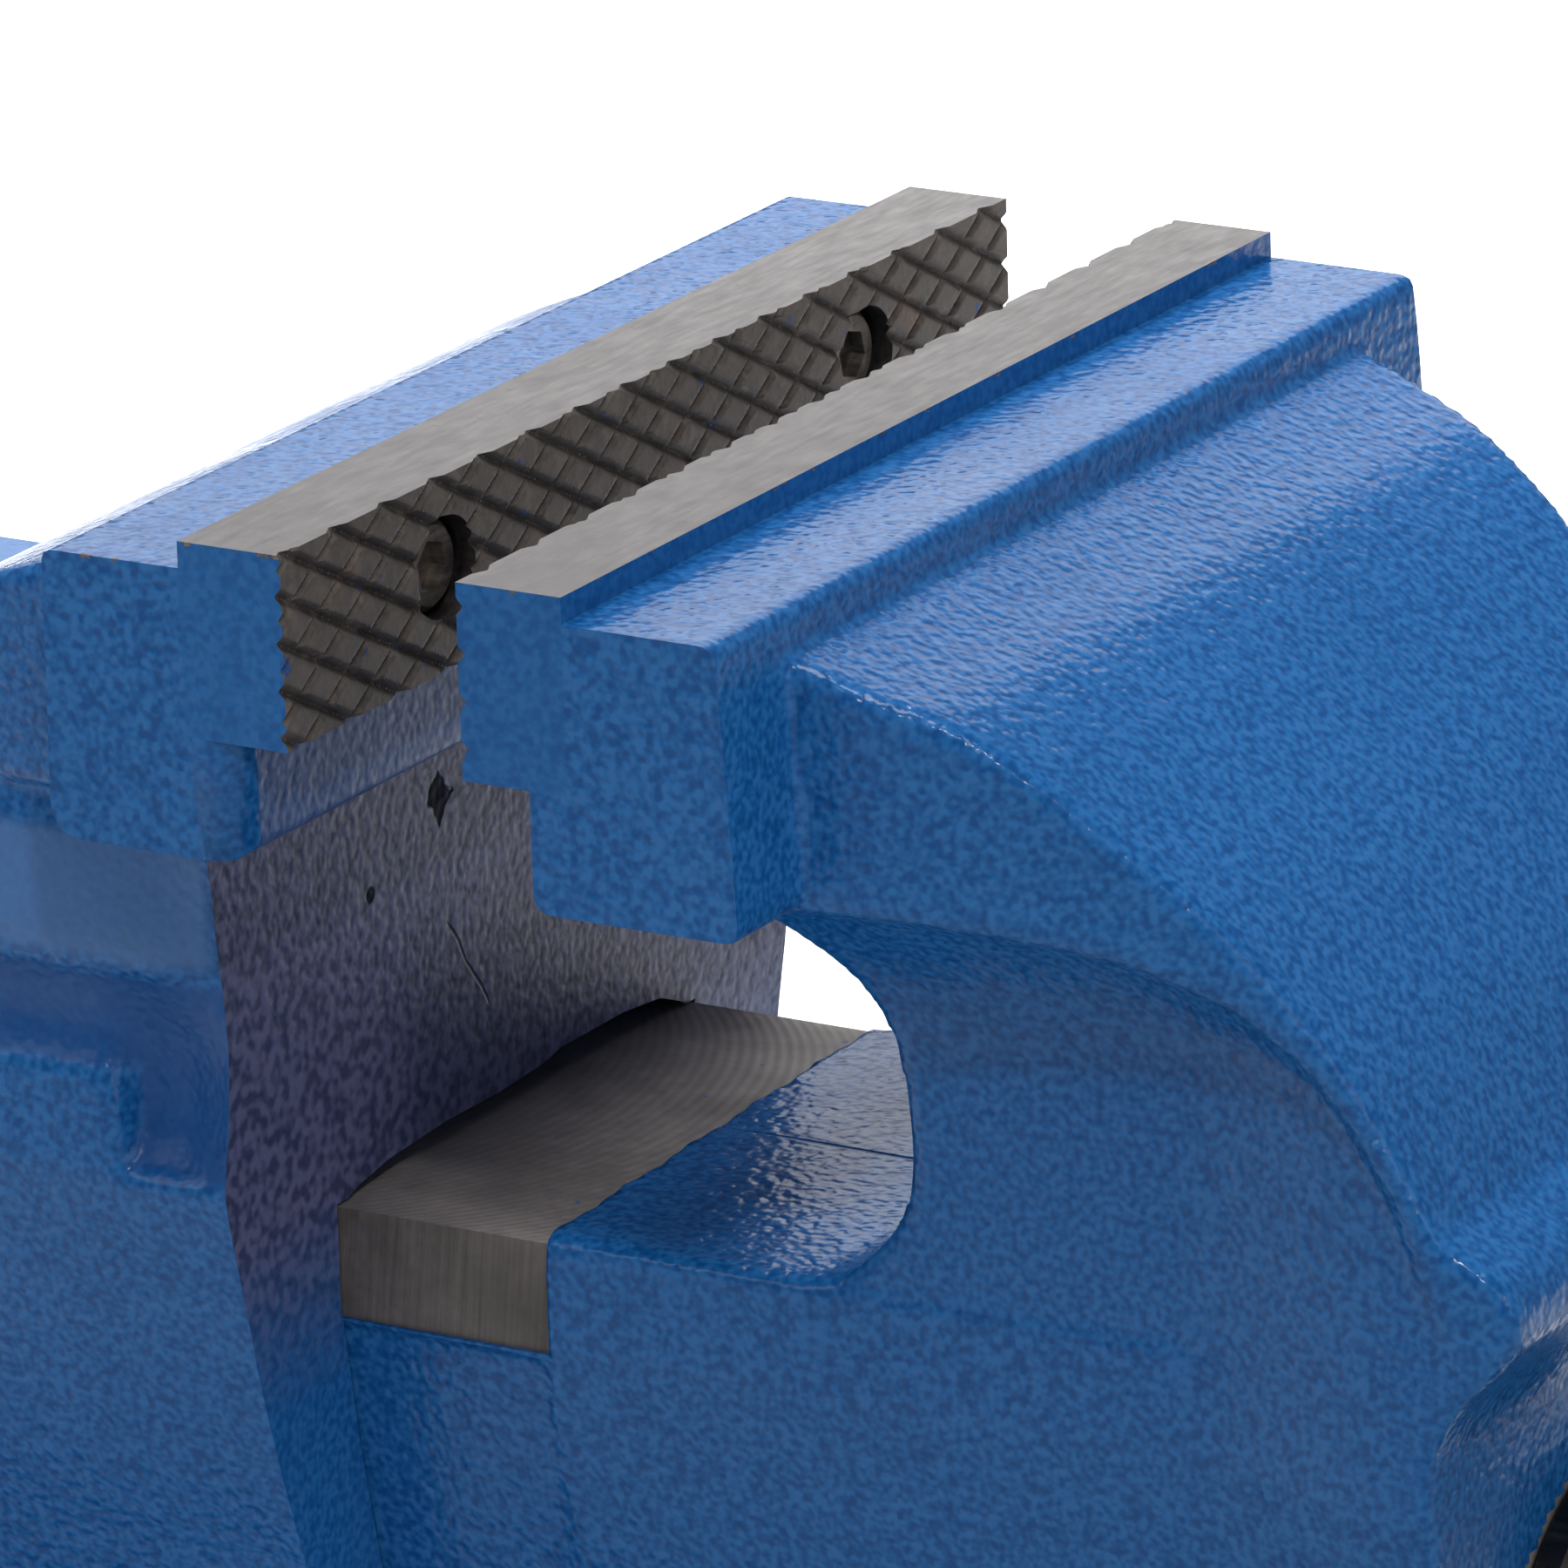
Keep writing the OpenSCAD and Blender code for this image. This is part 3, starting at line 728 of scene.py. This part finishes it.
def machined(name="ground_iron"):
    """Milled cast iron: cutter arcs across the ways, straight marks down their sides."""
    m = Mat(name)
    m.set(Metallic=0.28)
    X, Y, Z = xyz(m)
    R = 52.0
    q = m.math("SQRT", m.math("MAXIMUM", m.math("SUBTRACT", R * R, m.math("MULTIPLY", Y, Y)), 1.0))
    s = m.math("ADD", m.math("SUBTRACT", X, q), m.math("MULTIPLY", m.noise(40, 2), 0.9))
    arc = m.math("SINE", m.math("MULTIPLY", s, 2 * math.pi / 1.55))
    arc = m.math("MULTIPLY", m.math("ADD", arc, 1.0), 0.5)
    fade = m.ramp(m.noise(26, 2, 0.5), [(0.35, 0.25), (0.62, 1.0)])
    arc = m.math("MULTIPLY", arc, fade)
    # side faces carry slightly leaning vertical marks
    g = m.n("NewGeometry")
    sn = m.n("SeparateXYZ")
    m.link(g.outputs["True Normal"], sn.inputs[0])
    side = m.ramp(m.math("ABSOLUTE", sn.outputs[1], 0.0), [(0.5, 0.0), (0.6, 1.0)])
    lean = m.math("ADD", X, m.math("MULTIPLY", Z, -0.10))
    v = m.n("CombineXYZ")
    m.link(m.math("MULTIPLY", lean, 1.25), v.inputs[0])
    m.link(m.math("MULTIPLY", Z, 0.03), v.inputs[2])
    strip = m.noise(1.0, 4, 0.65, src=v.outputs[0])
    strip = m.ramp(strip, [(0.30, 0.0), (0.70, 1.0)])
    tex = m.mix(side, arc, strip)
    mott = m.noise(70, 4, 0.65)
    grain = m.noise(900, 2)
    c = m.ramp(mott, [(0.28, (0.180, 0.160, 0.150)), (0.72, (0.340, 0.308, 0.290))])
    c = m.mix(side, c, m.mix(1.0, c, (0.45, 0.45, 0.46), "MULTIPLY"))
    c = m.mix(m.mix(side, 0.32, 0.62), c, m.ramp(tex, [(0.0, (0.62, 0.60, 0.58)), (1.0, (1.35, 1.33, 1.30))]), "MULTIPLY")
    c = m.mix(0.5, c, m.ramp(grain, [(0.3, (0.8, 0.8, 0.8)), (0.7, (1.15, 1.14, 1.12))]), "MULTIPLY")
    # specks of overspray
    spk = m.ramp(m.noise(420, 2, 0.5), [(0.735, 0.0), (0.75, 1.0)])
    c = m.mix(m.math("MULTIPLY", spk, 0.8), c, (0.012, 0.10, 0.38))
    m.to(c, "Base Color")
    m.to(m.ramp(grain, [(0.3, 0.46), (0.7, 0.60)]), "Roughness")
    hh = m.math("ADD", m.math("MULTIPLY", tex, 0.8), m.math("MULTIPLY", grain, 0.5))
    m.to(m.bump(hh, 0.00004), "Normal")
    return m.m


def plate_top(name="ground_steel"):
    m = Mat(name)
    m.set(Metallic=1.0)
    g = m.noise(1.0, 4, 0.65, src=m.mapping(scale=(900, 160, 900)))
    mott = m.noise(180, 3, 0.6)
    c = m.ramp(g, [(0.25, (0.078, 0.073, 0.073)), (0.75, (0.180, 0.171, 0.171))])
    c = m.mix(0.6, c, m.ramp(mott, [(0.3, (0.78, 0.77, 0.76)), (0.7, (1.14, 1.14, 1.14))]), "MULTIPLY")
    pit = m.ramp(m.noise(520, 2, 0.5), [(0.72, 0.0), (0.76, 1.0)])
    c = m.mix(m.math("MULTIPLY", pit, 0.7), c, (0.10, 0.07, 0.05))
    m.to(c, "Base Color")
    m.to(m.ramp(g, [(0.2, 0.36), (0.8, 0.50)]), "Roughness")
    m.to(m.bump(g, 0.00005), "Normal")
    return m.m


FAM_A = (27.6, 9.6 * math.tan(math.radians(27.6)), 0.30, 0.82, 0.85)
FAM_B = (-31.0, 8.9 * math.tan(math.radians(31.0)), 0.12, 0.58, 0.50)


def groove_mask(m, fam, half):
    """1 in the bottom of a family of grooves, 0 on the lands."""
    ang, pitch, phase = fam[:3]
    X, Y, Z = xyz(m)
    flip = m.math("SUBTRACT", 1.0, m.math("MULTIPLY", m.math("GREATER_THAN", X, GAP / 2), 2.0))
    k = -math.tan(math.radians(ang)) / pitch
    s = m.math("MULTIPLY", m.math("MULTIPLY", Y, flip), k)
    s = m.math("ADD", m.math("SUBTRACT", s, m.math("DIVIDE", Z, pitch)), phase + 40)
    f = m.math("MULTIPLY", m.math("PINGPONG", s, 0.5), pitch * math.cos(math.radians(ang)))
    return m.math("SUBTRACT", 1.0, m.math("DIVIDE", f, half), True)


def grip(name, lo, hi, spec=0.5):
    """Dark heat-treated steel with dirt, painted shade in the groove bottoms and a little overspray."""
    m = Mat(name)
    m.set(Metallic=0.35)
    a = m.noise(260, 4, 0.65)
    c = m.ramp(a, [(0.28, lo), (0.72, hi)])
    rust = m.ramp(m.noise(140, 3, 0.6), [(0.60, 0.0), (0.72, 0.55)])
    c = m.mix(rust, c, (hi[0] * 1.25, hi[1] * 0.86, hi[2] * 0.66))
    # painted shade: the groove bottoms are darkened in the colour
    ga = m.ramp(groove_mask(m, FAM_A, 1.35), [(0.05, 0.0), (0.75, 0.62)])
    gb = m.ramp(groove_mask(m, FAM_B, 0.95), [(0.05, 0.0), (0.80, 0.34)])
    c = m.mix(m.math("MAXIMUM", ga, gb), c, (0.024, 0.020, 0.018))
    wear = m.ramp(m.noise(420, 3, 0.65), [(0.54, 0.0), (0.66, 0.5)])
    c = m.mix(wear, c, (0.20, 0.165, 0.135))
    spk = m.ramp(m.noise(300, 3, 0.6), [(0.665, 0.0), (0.70, 0.9)])
    c = m.mix(spk, c, (0.015, 0.075, 0.26))
    m.to(c, "Base Color")
    m.to(m.ramp(a, [(0.3, 0.46), (0.7, 0.62)]), "Roughness")
    m.to(m.bump(m.noise(1100, 3), 0.00006), "Normal")
    return m.m


def turned(name, lo, hi, r0, r1, axis="x", mott=0.0):
    m = Mat(name)
    m.set(Metallic=1.0)
    sc = {"x": (1500, 60, 60), "y": (60, 1500, 60), "z": (60, 60, 1500)}[axis]
    g = m.noise(1.0, 3, 0.6, src=m.mapping(scale=sc))
    c = m.ramp(g, [(0.25, lo), (0.75, hi)])
    k = m.ramp(m.noise(300, 4, 0.65), [(0.3, (1 - mott, 1 - mott, 1 - mott)), (0.7, (1 + mott * 0.4, 1 + mott * 0.35, 1 + mott * 0.3))])
    c = m.mix(1.0, c, k, "MULTIPLY")
    m.to(c, "Base Color")
    m.to(m.ramp(g, [(0.25, r0), (0.75, r1)]), "Roughness")
    m.to(m.bump(g, 0.000012), "Normal")
    return m.m


# the main enamel carries painted highlights along the hump's ridge and painted light and shade patches on the fixed
# body
PAINT = paint("blue_enamel", 1.0, edges=True, bare=[((-31, -13), (-76, -74.4), (-3.45, -2.0), 0.57),
                                        ((-31.2, -28.4), (-76, -73), (-5.2, -2.0), 0.47),
                                        ((-31.2, -28.6), (-76, -66), (-3.9, -2.0), 0.60)],
              # painted light: a paler band under the fixed head; painted shade: a darker pocket in the neck below it
              # and beside the box
              painted_light_and_shade=[((-260, -21), (-70, 70), (-53.6, -39), 1.6, (0.080, 0.175, 0.380), 0.75),
                     ((-260, -20), (-70, 70), (-66.0, -54.6), 1.0, (0.006, 0.064, 0.235), 0.80),
                     ((-34.0, -20), (-70, 70), (-77.4, -64.5), 1.0, (0.006, 0.064, 0.235), 0.80)])
PAINT_THIN = paint("blue_enamel_thin", 0.25)
PAINT_NECK = paint("blue_enamel_neck", 0.85, rough=(0.24, 0.34), level=0.40, neck=True)
PAINT_END = paint("blue_enamel_plate_end", 0.55, bare=[((-14, 35), (-77, 77), (-0.55, 1.0), 0.58)])
IRON = machined()
STEEL = plate_top()
GRIP = grip("serrated_lands", (0.066, 0.057, 0.051), (0.175, 0.152, 0.136))
TURN = turned("turned_steel", (0.40, 0.39, 0.38), (0.53, 0.52, 0.50), 0.24, 0.34, mott=0.1)
BARM = turned("bar_steel", (0.49, 0.49, 0.48), (0.57, 0.56, 0.55), 0.22, 0.28, "y", mott=0.05)
BLACK = turned("black_oxide", (0.03, 0.028, 0.027), (0.075, 0.07, 0.066), 0.34, 0.5, "z", mott=0.3)
HEADS = turned("screw_heads", (0.17, 0.150, 0.135), (0.42, 0.38, 0.34), 0.50, 0.7, "z", mott=0.6)
SPRING = turned("spring_wire", (0.08, 0.078, 0.076), (0.16, 0.155, 0.15), 0.3, 0.45)
BRONZE = turned("cast_bronze", (0.36, 0.22, 0.09), (0.55, 0.36, 0.16), 0.3, 0.5, mott=0.25)

# ------------------------------------------------------------------ castings
def near(a, b, t=0.03):
    return abs(a - b) < t


def casting(o, test_iron, test_seat, test_clean, node, body):
    me = o.data
    me.materials.clear()
    for m in (PAINT, IRON, PAINT_THIN, PAINT_NECK):
        me.materials.append(m)
    mark(me, lambda c, n: True, 0)
    mark(me, test_clean, 3)
    if body == "fixed_body":
        mark(me, neck_front, 4)
    mark(me, test_iron, 1)
    mark(me, test_seat, 2)
    finish_mesh(me, [])
    crease(me)
    for f in me.polygons:
        f.material_index = {3: 0, 4: 3}.get(f.material_index, f.material_index)
    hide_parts(node)
    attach(o, body)
    print(node, len(me.polygons), "faces")


def iron_moving(c, n):
    if c.x < 5.5 and near(c.z, ST) or near(c.x, TAIL) or near(c.x, 113, 0.05) and math.hypot(c.y, c.z - SZ) < 29.3:
        return True
    if c.x < 5.5 and near(abs(c.y), 37) and c.z > -98.6:
        return True
    if math.hypot(c.y, c.z - SZ) < 12.7 and 87 < c.x < 114:
        return True
    return near(c.x, 88, 0.05) and abs(c.y) < 18.1


def iron_fixed(c, n):
    if near(c.z, -OZ) or (near(c.z, -OZ + 18.5) and abs(n.z) > 0.9 and abs(c.y) > 47):
        return True
    if abs(c.y) < 37.4 and -156.5 < c.z < -85.5 and c.x < NECK - 0.3 and abs(n.x) < 0.3:
        return True
    return c.z < -185 and math.hypot(c.x + 65, c.y) < 13.1


def end_face(c, n):
    return near(abs(c.y), HW) and abs(n.y) > 0.99


def neck_front(c, n):
    if not (-172 < c.z < -33.9 and NECK - 0.1 < c.x < -6.4 and abs(n.y) < 0.02):
        return -34.4 < c.z < -PH - 0.3 and c.x > -8.2 and n.x > 0.3 and abs(c.y) < 71
    return near(c.x, NECK) or near(math.hypot(c.x + 16, c.z + 39), 5, 0.12)


casting(moving_jaw(), iron_moving,
        lambda c, n: near(c.x, 33.4) and c.z > -PH - 0.1 or near(c.z, -PH) and c.x < 33.5 and abs(n.z) > 0.9,
        end_face, "moving_jaw_slide", "moving_jaw")
casting(fixed_body(), iron_fixed,
        lambda c, n: near(c.x, -PT) and c.z > -PH - 0.1 or near(c.z, -PH) and c.x > -PT - 0.1 and abs(n.z) > 0.9,
        lambda c, n: end_face(c, n) or neck_front(c, n), "fixed_jaw_body", "fixed_body")


# ------------------------------------------------------------------ jaw plates
def serrated(Yg, Zg):
    """Depth of the crossing V grooves at (y, z) of a grip face, mm."""
    def fam(ang, pitch, phase, half, depth):
        a = math.radians(ang)
        s = (-Yg * math.tan(a) - Zg) / pitch + phase if ang > 0 else (Yg * math.tan(-a) - Zg) / pitch + phase
        f = np.abs(s - np.round(s)) * pitch * math.cos(a)
        return np.clip(1 - f / half, 0, 1) * depth
    A = fam(*FAM_A)
    B = fam(*FAM_B)
    return np.maximum(A, B)


def jaw_plate_mesh(xf, sgn, mirror):
    """A plate with its grip face at x = xf, body reaching to xf - sgn*PT."""
    step = 0.30
    ys = np.linspace(-HW, HW, int(2 * HW / step) + 1)
    zs = np.linspace(-PH, 0, int(PH / step) + 1)
    Yg, Zg = np.meshgrid(ys, zs, indexing="ij")
    D = serrated(-Yg if mirror else Yg, Zg)
    ny, nz = Yg.shape
    front = np.stack([xf - sgn * D, Yg, Zg], -1).reshape(-1, 3)
    back = np.stack([np.full_like(D, xf - sgn * PT), Yg, Zg], -1)
    bi = [(i, 0) for i in range(ny)] + [(ny - 1, j) for j in range(1, nz)] + [(i, nz - 1) for i in range(ny - 2, -1, -1)] + [(0, j) for j in range(nz - 2, 0, -1)]
    verts = [tuple(v) for v in front]
    idx = lambda i, j: i * nz + j
    faces, mi = [], []
    for i in range(ny - 1):
        for j in range(nz - 1):
            a, b, c, d = idx(i, j), idx(i + 1, j), idx(i + 1, j + 1), idx(i, j + 1)
            # the diagonal follows the groove
            h = [D[i, j], D[i + 1, j], D[i + 1, j + 1], D[i, j + 1]]
            if abs(h[0] - h[2]) < abs(h[1] - h[3]):
                faces += [(a, b, c), (a, c, d)]
            else:
                faces += [(a, b, d), (b, c, d)]
            mi += [1, 1]
    base = len(verts)
    verts += [tuple(back[i, j]) for i, j in bi]
    m = len(bi)
    for k in range(m):
        i, j = bi[k]
        i2, j2 = bi[(k + 1) % m]
        faces.append((idx(i, j), base + k, base + (k + 1) % m, idx(i2, j2)))
        side = 2 if (i == i2 and i in (0, ny - 1)) else (0 if j == j2 == nz - 1 else 3)
        mi.append(side)
    faces.append(tuple(base + k for k in range(m)))
    mi.append(2)
    me = bpy.data.meshes.new("plate")
    me.from_pydata(verts, [], faces)
    me.polygons.foreach_set("material_index", mi)
    bm = bmesh.new()
    bm.from_mesh(me)
    bmesh.ops.recalc_face_normals(bm, faces=bm.faces)
    bm.to_mesh(me)
    bm.free()
    return me


def make_plate(node, body, xf, sgn, mirror):
    me = jaw_plate_mesh(xf, sgn, mirror)
    for mt in (STEEL, GRIP, PAINT_END, GRIP):
        me.materials.append(mt)
    o = obj(me, node + "_serrated")
    for s in (-1, 1):
        cm = lathe([(-3, 0), (-3, 3.3), (PT - 7.5, 3.3), (PT - 7.5, 5.6), (PT + 3, 5.6), (PT + 3, 0)],
                   (sgn, 0, 0), (xf - sgn * PT, s * 43.5, -10), 48)
        cm.materials.append(BLACK)
        boolean(o, obj(cm, "cut"))
    sharp(o.data, 18)
    finish_mesh(o.data, [])
    sharp(o.data, 18)
    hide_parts(node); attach(o, body)


make_plate("rear_jaw_plate", "fixed_body", 0.0, 1, False)
make_plate("front_jaw_plate", "moving_jaw", GAP, -1, True)


# ------------------------------------------------------------------ small parts
def place(me, name, body, mat, node=None, deg=32):
    finish_mesh(me, [mat])
    sharp(me, deg)
    o = obj(me, name)
    if node:
        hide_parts(node)
    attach(o, body)
    return o


def cap_screws(node, body, xf, sgn):
    parts = []
    for s in (-1, 1):
        c = (xf - sgn * 28, s * 43.5, -10)
        o = obj(lathe([(0, 0), (0, 2.4), (0.8, 3), (20.5, 3), (20.5, 4.9), (20.6, 5), (25.4, 5), (26.1, 4.3), (26.1, 0)],
                      (sgn, 0, 0), c, 48), "s")
        hexm = lathe([(24.4, 0), (24.4, 2.9), (26.5, 2.9), (26.5, 0)], (sgn, 0, 0), c, 6)
        boolean(o, obj(hexm, "cut"))
        parts.append(o)
    bm = bmesh.new()
    for o in parts:
        bm.from_mesh(o.data)
        bpy.data.objects.remove(o)
    me = bpy.data.meshes.new(node)
    bm.to_mesh(me)
    bm.free()
    return place(me, node + "_socket", body, HEADS, node)


cap_screws("rear_plate_screws", "fixed_body", 0.0, 1)
cap_screws("front_plate_screws", "moving_jaw", GAP, -1)


def lead_screw():
    nx = 113.0
    c = (0, 0, SZ)
    core = 9.4
    # shank, journal, collar and head
    prof = [(-208, 0), (-208, 8.6), (-207, 9.4), (60.5, 9.4), (61, 12.0), (62, 12.5), (nx + 4.2, 12.5), (nx + 4.2, 25.2),
            (nx + 4.8, 26), (nx + 8.2, 26), (nx + 9.0, 25.6), (nx + 10.6, 23.6), (nx + 12.6, 22.3), (nx + 14, 22),
            (nx + 15, 21.2), (nx + 16, 21.2), (nx + 17, 22), (nx + 43, 22), (nx + 46, 21.4), (nx + 49, 19.8), (nx + 51.5, 17),
            (nx + 53.4, 13), (nx + 54.6, 7), (nx + 55, 0)]
    o = obj(lathe(prof, (1, 0, 0), c, 96), "screw")
    bar = lathe([(-40, 0), (-40, 9.1), (40, 9.1), (40, 0)], (0, 1, 0), (BARX, 0, SZ), 64)
    boolean(o, obj(bar, "cut"))
    pin = lathe([(-30, 0), (-30, 2.6), (30, 2.6), (30, 0)], (0, 0, 1), (64, 0, SZ), 32)
    boolean(o, obj(pin, "cut"))
    bm = bmesh.new()
    bm.from_mesh(o.data)
    # trapezoidal thread, right hand, 5 mm pitch
    P, seg = 5.0, 40
    x0, x1 = -205.5, 58.0
    turns = (x1 - x0) / P
    n = int(turns * seg)
    ring = []
    for k in range(n + 1):
        th = 2 * math.pi * k / seg
        x = x0 + P * k / seg
        f = min(1, k / (seg * 0.6), (n - k) / (seg * 0.6))
        rt = core - 0.3 + (12.0 - core + 0.3) * f
        pts = [(-1.75, core - 0.3), (-0.95, rt), (0.95, rt), (1.75, core - 0.3)]
        ring.append([bm.verts.new((x + dx, -r * math.sin(th), SZ + r * math.cos(th))) for dx, r in pts])
    for A, B in zip(ring, ring[1:]):
        for i in range(4):
            j = (i + 1) % 4
            bm.faces.new((A[i], A[j], B[j], B[i]))
    bm.faces.new(ring[0][::-1])
    bm.faces.new(ring[-1])
    bmesh.ops.recalc_face_normals(bm, faces=bm.faces)
    me = bpy.data.meshes.new("lead_screw_threaded")
    bm.to_mesh(me)
    bm.free()
    bpy.data.objects.remove(o)
    return place(me, "lead_screw_threaded", "screw", TURN, "lead_screw", 35)


lead_screw()
NX = 113.0
place(lathe([(0, 12.9), (0, 28.4), (0.6, 29), (3.4, 29), (4, 28.4), (4, 12.9)], (1, 0, 0), (NX, 0, SZ), 96, closed=True),
      "thrust_washer_turned", "moving_jaw", BLACK, "thrust_washer")
place(lathe([(0, 12.55), (0, 16.4), (0.5, 17), (2.5, 17), (3, 16.4), (3, 12.55)], (1, 0, 0), (68.5, 0, SZ), 64, closed=True),
      "spring_washer_turned", "screw", TURN, "spring_washer")
place(lathe([(-143, 0), (-143, 8.2), (-142.1, 9), (142.1, 9), (143, 8.2), (143, 0)], (0, 1, 0), (BARX, 0, SZ), 64),
      "tommy_bar_turned", "bar", BARM, "tommy_bar")


def knob(s, node):
    R = 15.0
    pr = []
    for a in np.linspace(0, 1, 19):
        t = a * math.radians(148)
        pr.append((R * math.cos(t), R * math.sin(t)))
    pr = [(min(p[0], 13.5), p[1]) for p in pr]
    pr[0] = (13.5, 0)
    k0 = pr[-1]
    pr += [(-12.1, k0[1] - 0.2), (-12.5, 9.6), (-12.0, 9.05), (-7.2, 9.05), (-7.2, 0)]
    me = lathe(pr, (0, s, 0), (BARX, s * 150, SZ), 64)
    return place(me, node + "_turned", "bar", BARM, node, 40)


knob(-1, "left_bar_knob")
knob(1, "right_bar_knob")


def coil():
    bm = bmesh.new()
    r0, rw, a, b, turns, n, k = 15.0, 1.25, GAP + 50.6, 88 - 0.2, 4, 160, 12
    rings = []
    for i in range(n + 1):
        t = i / n
        th = 2 * math.pi * turns * t
        cx = a + rw + (b - a - 2 * rw) * t
        rings.append([bm.verts.new((cx + rw * math.sin(q), (r0 + rw * math.cos(q)) * math.cos(th),
                                    SZ + (r0 + rw * math.cos(q)) * math.sin(th)))
                      for q in [2 * math.pi * j / k for j in range(k)]])
    for A, B in zip(rings, rings[1:]):
        for j in range(k):
            bm.faces.new((A[j], A[(j + 1) % k], B[(j + 1) % k], B[j]))
    bm.faces.new(rings[0])
    bm.faces.new(rings[-1][::-1])
    bmesh.ops.recalc_face_normals(bm, faces=bm.faces)
    me = bpy.data.meshes.new("coil")
    bm.to_mesh(me)
    bm.free()
    return place(me, "backlash_spring_coil", "moving_jaw", SPRING, "backlash_spring", 60)


coil()

for node, mat in (("split_pin", TURN), ("main_nut", BRONZE), ("nut_bolt", BLACK), ("nut_bolt_washer", TURN), ("nut_dowels", TURN)):
    o = frame["nodes"][node]
    if not o.material_slots:
        o.data.materials.append(mat)
    for sl in o.material_slots:
        sl.material = mat

# ------------------------------------------------------------------ stage
def floor():
    m = Mat("studio_floor")
    m.set(Roughness=0.9)
    m.to(m.ramp(m.noise(2, 2), [(0.3, 0.61), (0.7, 0.63)]), "Base Color")
    g = m.n("NewGeometry")
    tr = m.n("BsdfTransparent")
    mx = m.n("MixShader")
    m.link(g.outputs["Backfacing"], mx.inputs[0])
    m.link(m.b.outputs[0], mx.inputs[1])
    m.link(tr.outputs[0], mx.inputs[2])
    m.link(mx.outputs[0], m.out.inputs[0])
    me = bpy.data.meshes.new("floor")
    s = 14.0
    me.from_pydata([(-s, -s, 0), (s, -s, 0), (s, s, 0), (-s, s, 0)], [], [(0, 1, 2, 3)])
    me.materials.append(m.m)
    obj(me, "floor")


floor()
sc = bpy.context.scene
sc.view_settings.view_transform = "Standard"
w = bpy.data.worlds.new("studio")
sc.world = w
w.use_nodes = True
bg = w.node_tree.nodes["Background"]
bg.inputs[0].default_value = (0.96, 0.955, 1.0, 1)
bg.inputs[1].default_value = 0.27


def area(name, loc, target, size, power, color=(1, 1, 1)):
    L = bpy.data.lights.new(name, "AREA")
    L.shape = "RECTANGLE"
    L.size, L.size_y = size
    L.energy = power
    L.color = color
    o = bpy.data.objects.new(name, L)
    sc.collection.objects.link(o)
    o.location = loc
    o.rotation_euler = (Vector(target) - Vector(loc)).to_track_quat("-Z", "Y").to_euler()
    return o


# a broad pale panel behind and left gives the sheen on the upper faces
area("rear_panel", (-1.15, 2.2, 1.25), (0.0, 0.2, 0.15), (2.3, 1.5), 13.5)
area("overhead", (0.30, -0.20, 1.9), (0.1, 0.0, 0.1), (0.7, 0.7), 14.5)
area("key", (-0.9, -1.0, 1.3), (0.1, 0.0, 0.12), (1.0, 1.0), 5)
area("fill", (1.9, -0.5, 0.7), (0.1, 0.0, 0.1), (1.2, 1.2), 4.5)
area("sparkle", (1.0, -1.15, 1.5), (0.1, 0.0, 0.1), (0.10, 0.10), 8)
sp = bpy.data.lights.new("far_floor", "SPOT")
sp.energy = 440
sp.spot_size = math.radians(62)
sp.spot_blend = 0.7
sp.shadow_soft_size = 0.25
so = bpy.data.objects.new("far_floor", sp)
sc.collection.objects.link(so)
so.location = (-0.5, 1.15, 1.7)
so.rotation_euler = (Vector((-0.36, 0.80, 0.0)) - Vector(so.location)).to_track_quat("-Z", "Y").to_euler()

# ------------------------------------------------------------------ camera
az, el, roll = math.radians(30.952), math.radians(18.030), math.radians(-1.722)
back = Vector((math.sin(az) * math.cos(el), -math.cos(az) * math.cos(el), math.sin(el)))
fwd = -back
r0 = fwd.cross(Vector((0, 0, 1))).normalized()
u0 = r0.cross(fwd)
right = math.cos(roll) * r0 + math.sin(roll) * u0
up = -math.sin(roll) * r0 + math.cos(roll) * u0
tgt = Vector(row((13.847, 0, -44.501)))
cam = bpy.data.cameras.new("cam")
cam.lens = 280.23
cam.sensor_width = 36
cam.clip_start, cam.clip_end = 0.05, 60
co = bpy.data.objects.new("cam", cam)
sc.collection.objects.link(co)
M = Matrix((right, up, back)).transposed().to_4x4()
M.translation = tgt + back * 1.30498
co.matrix_world = M
sc.camera = co
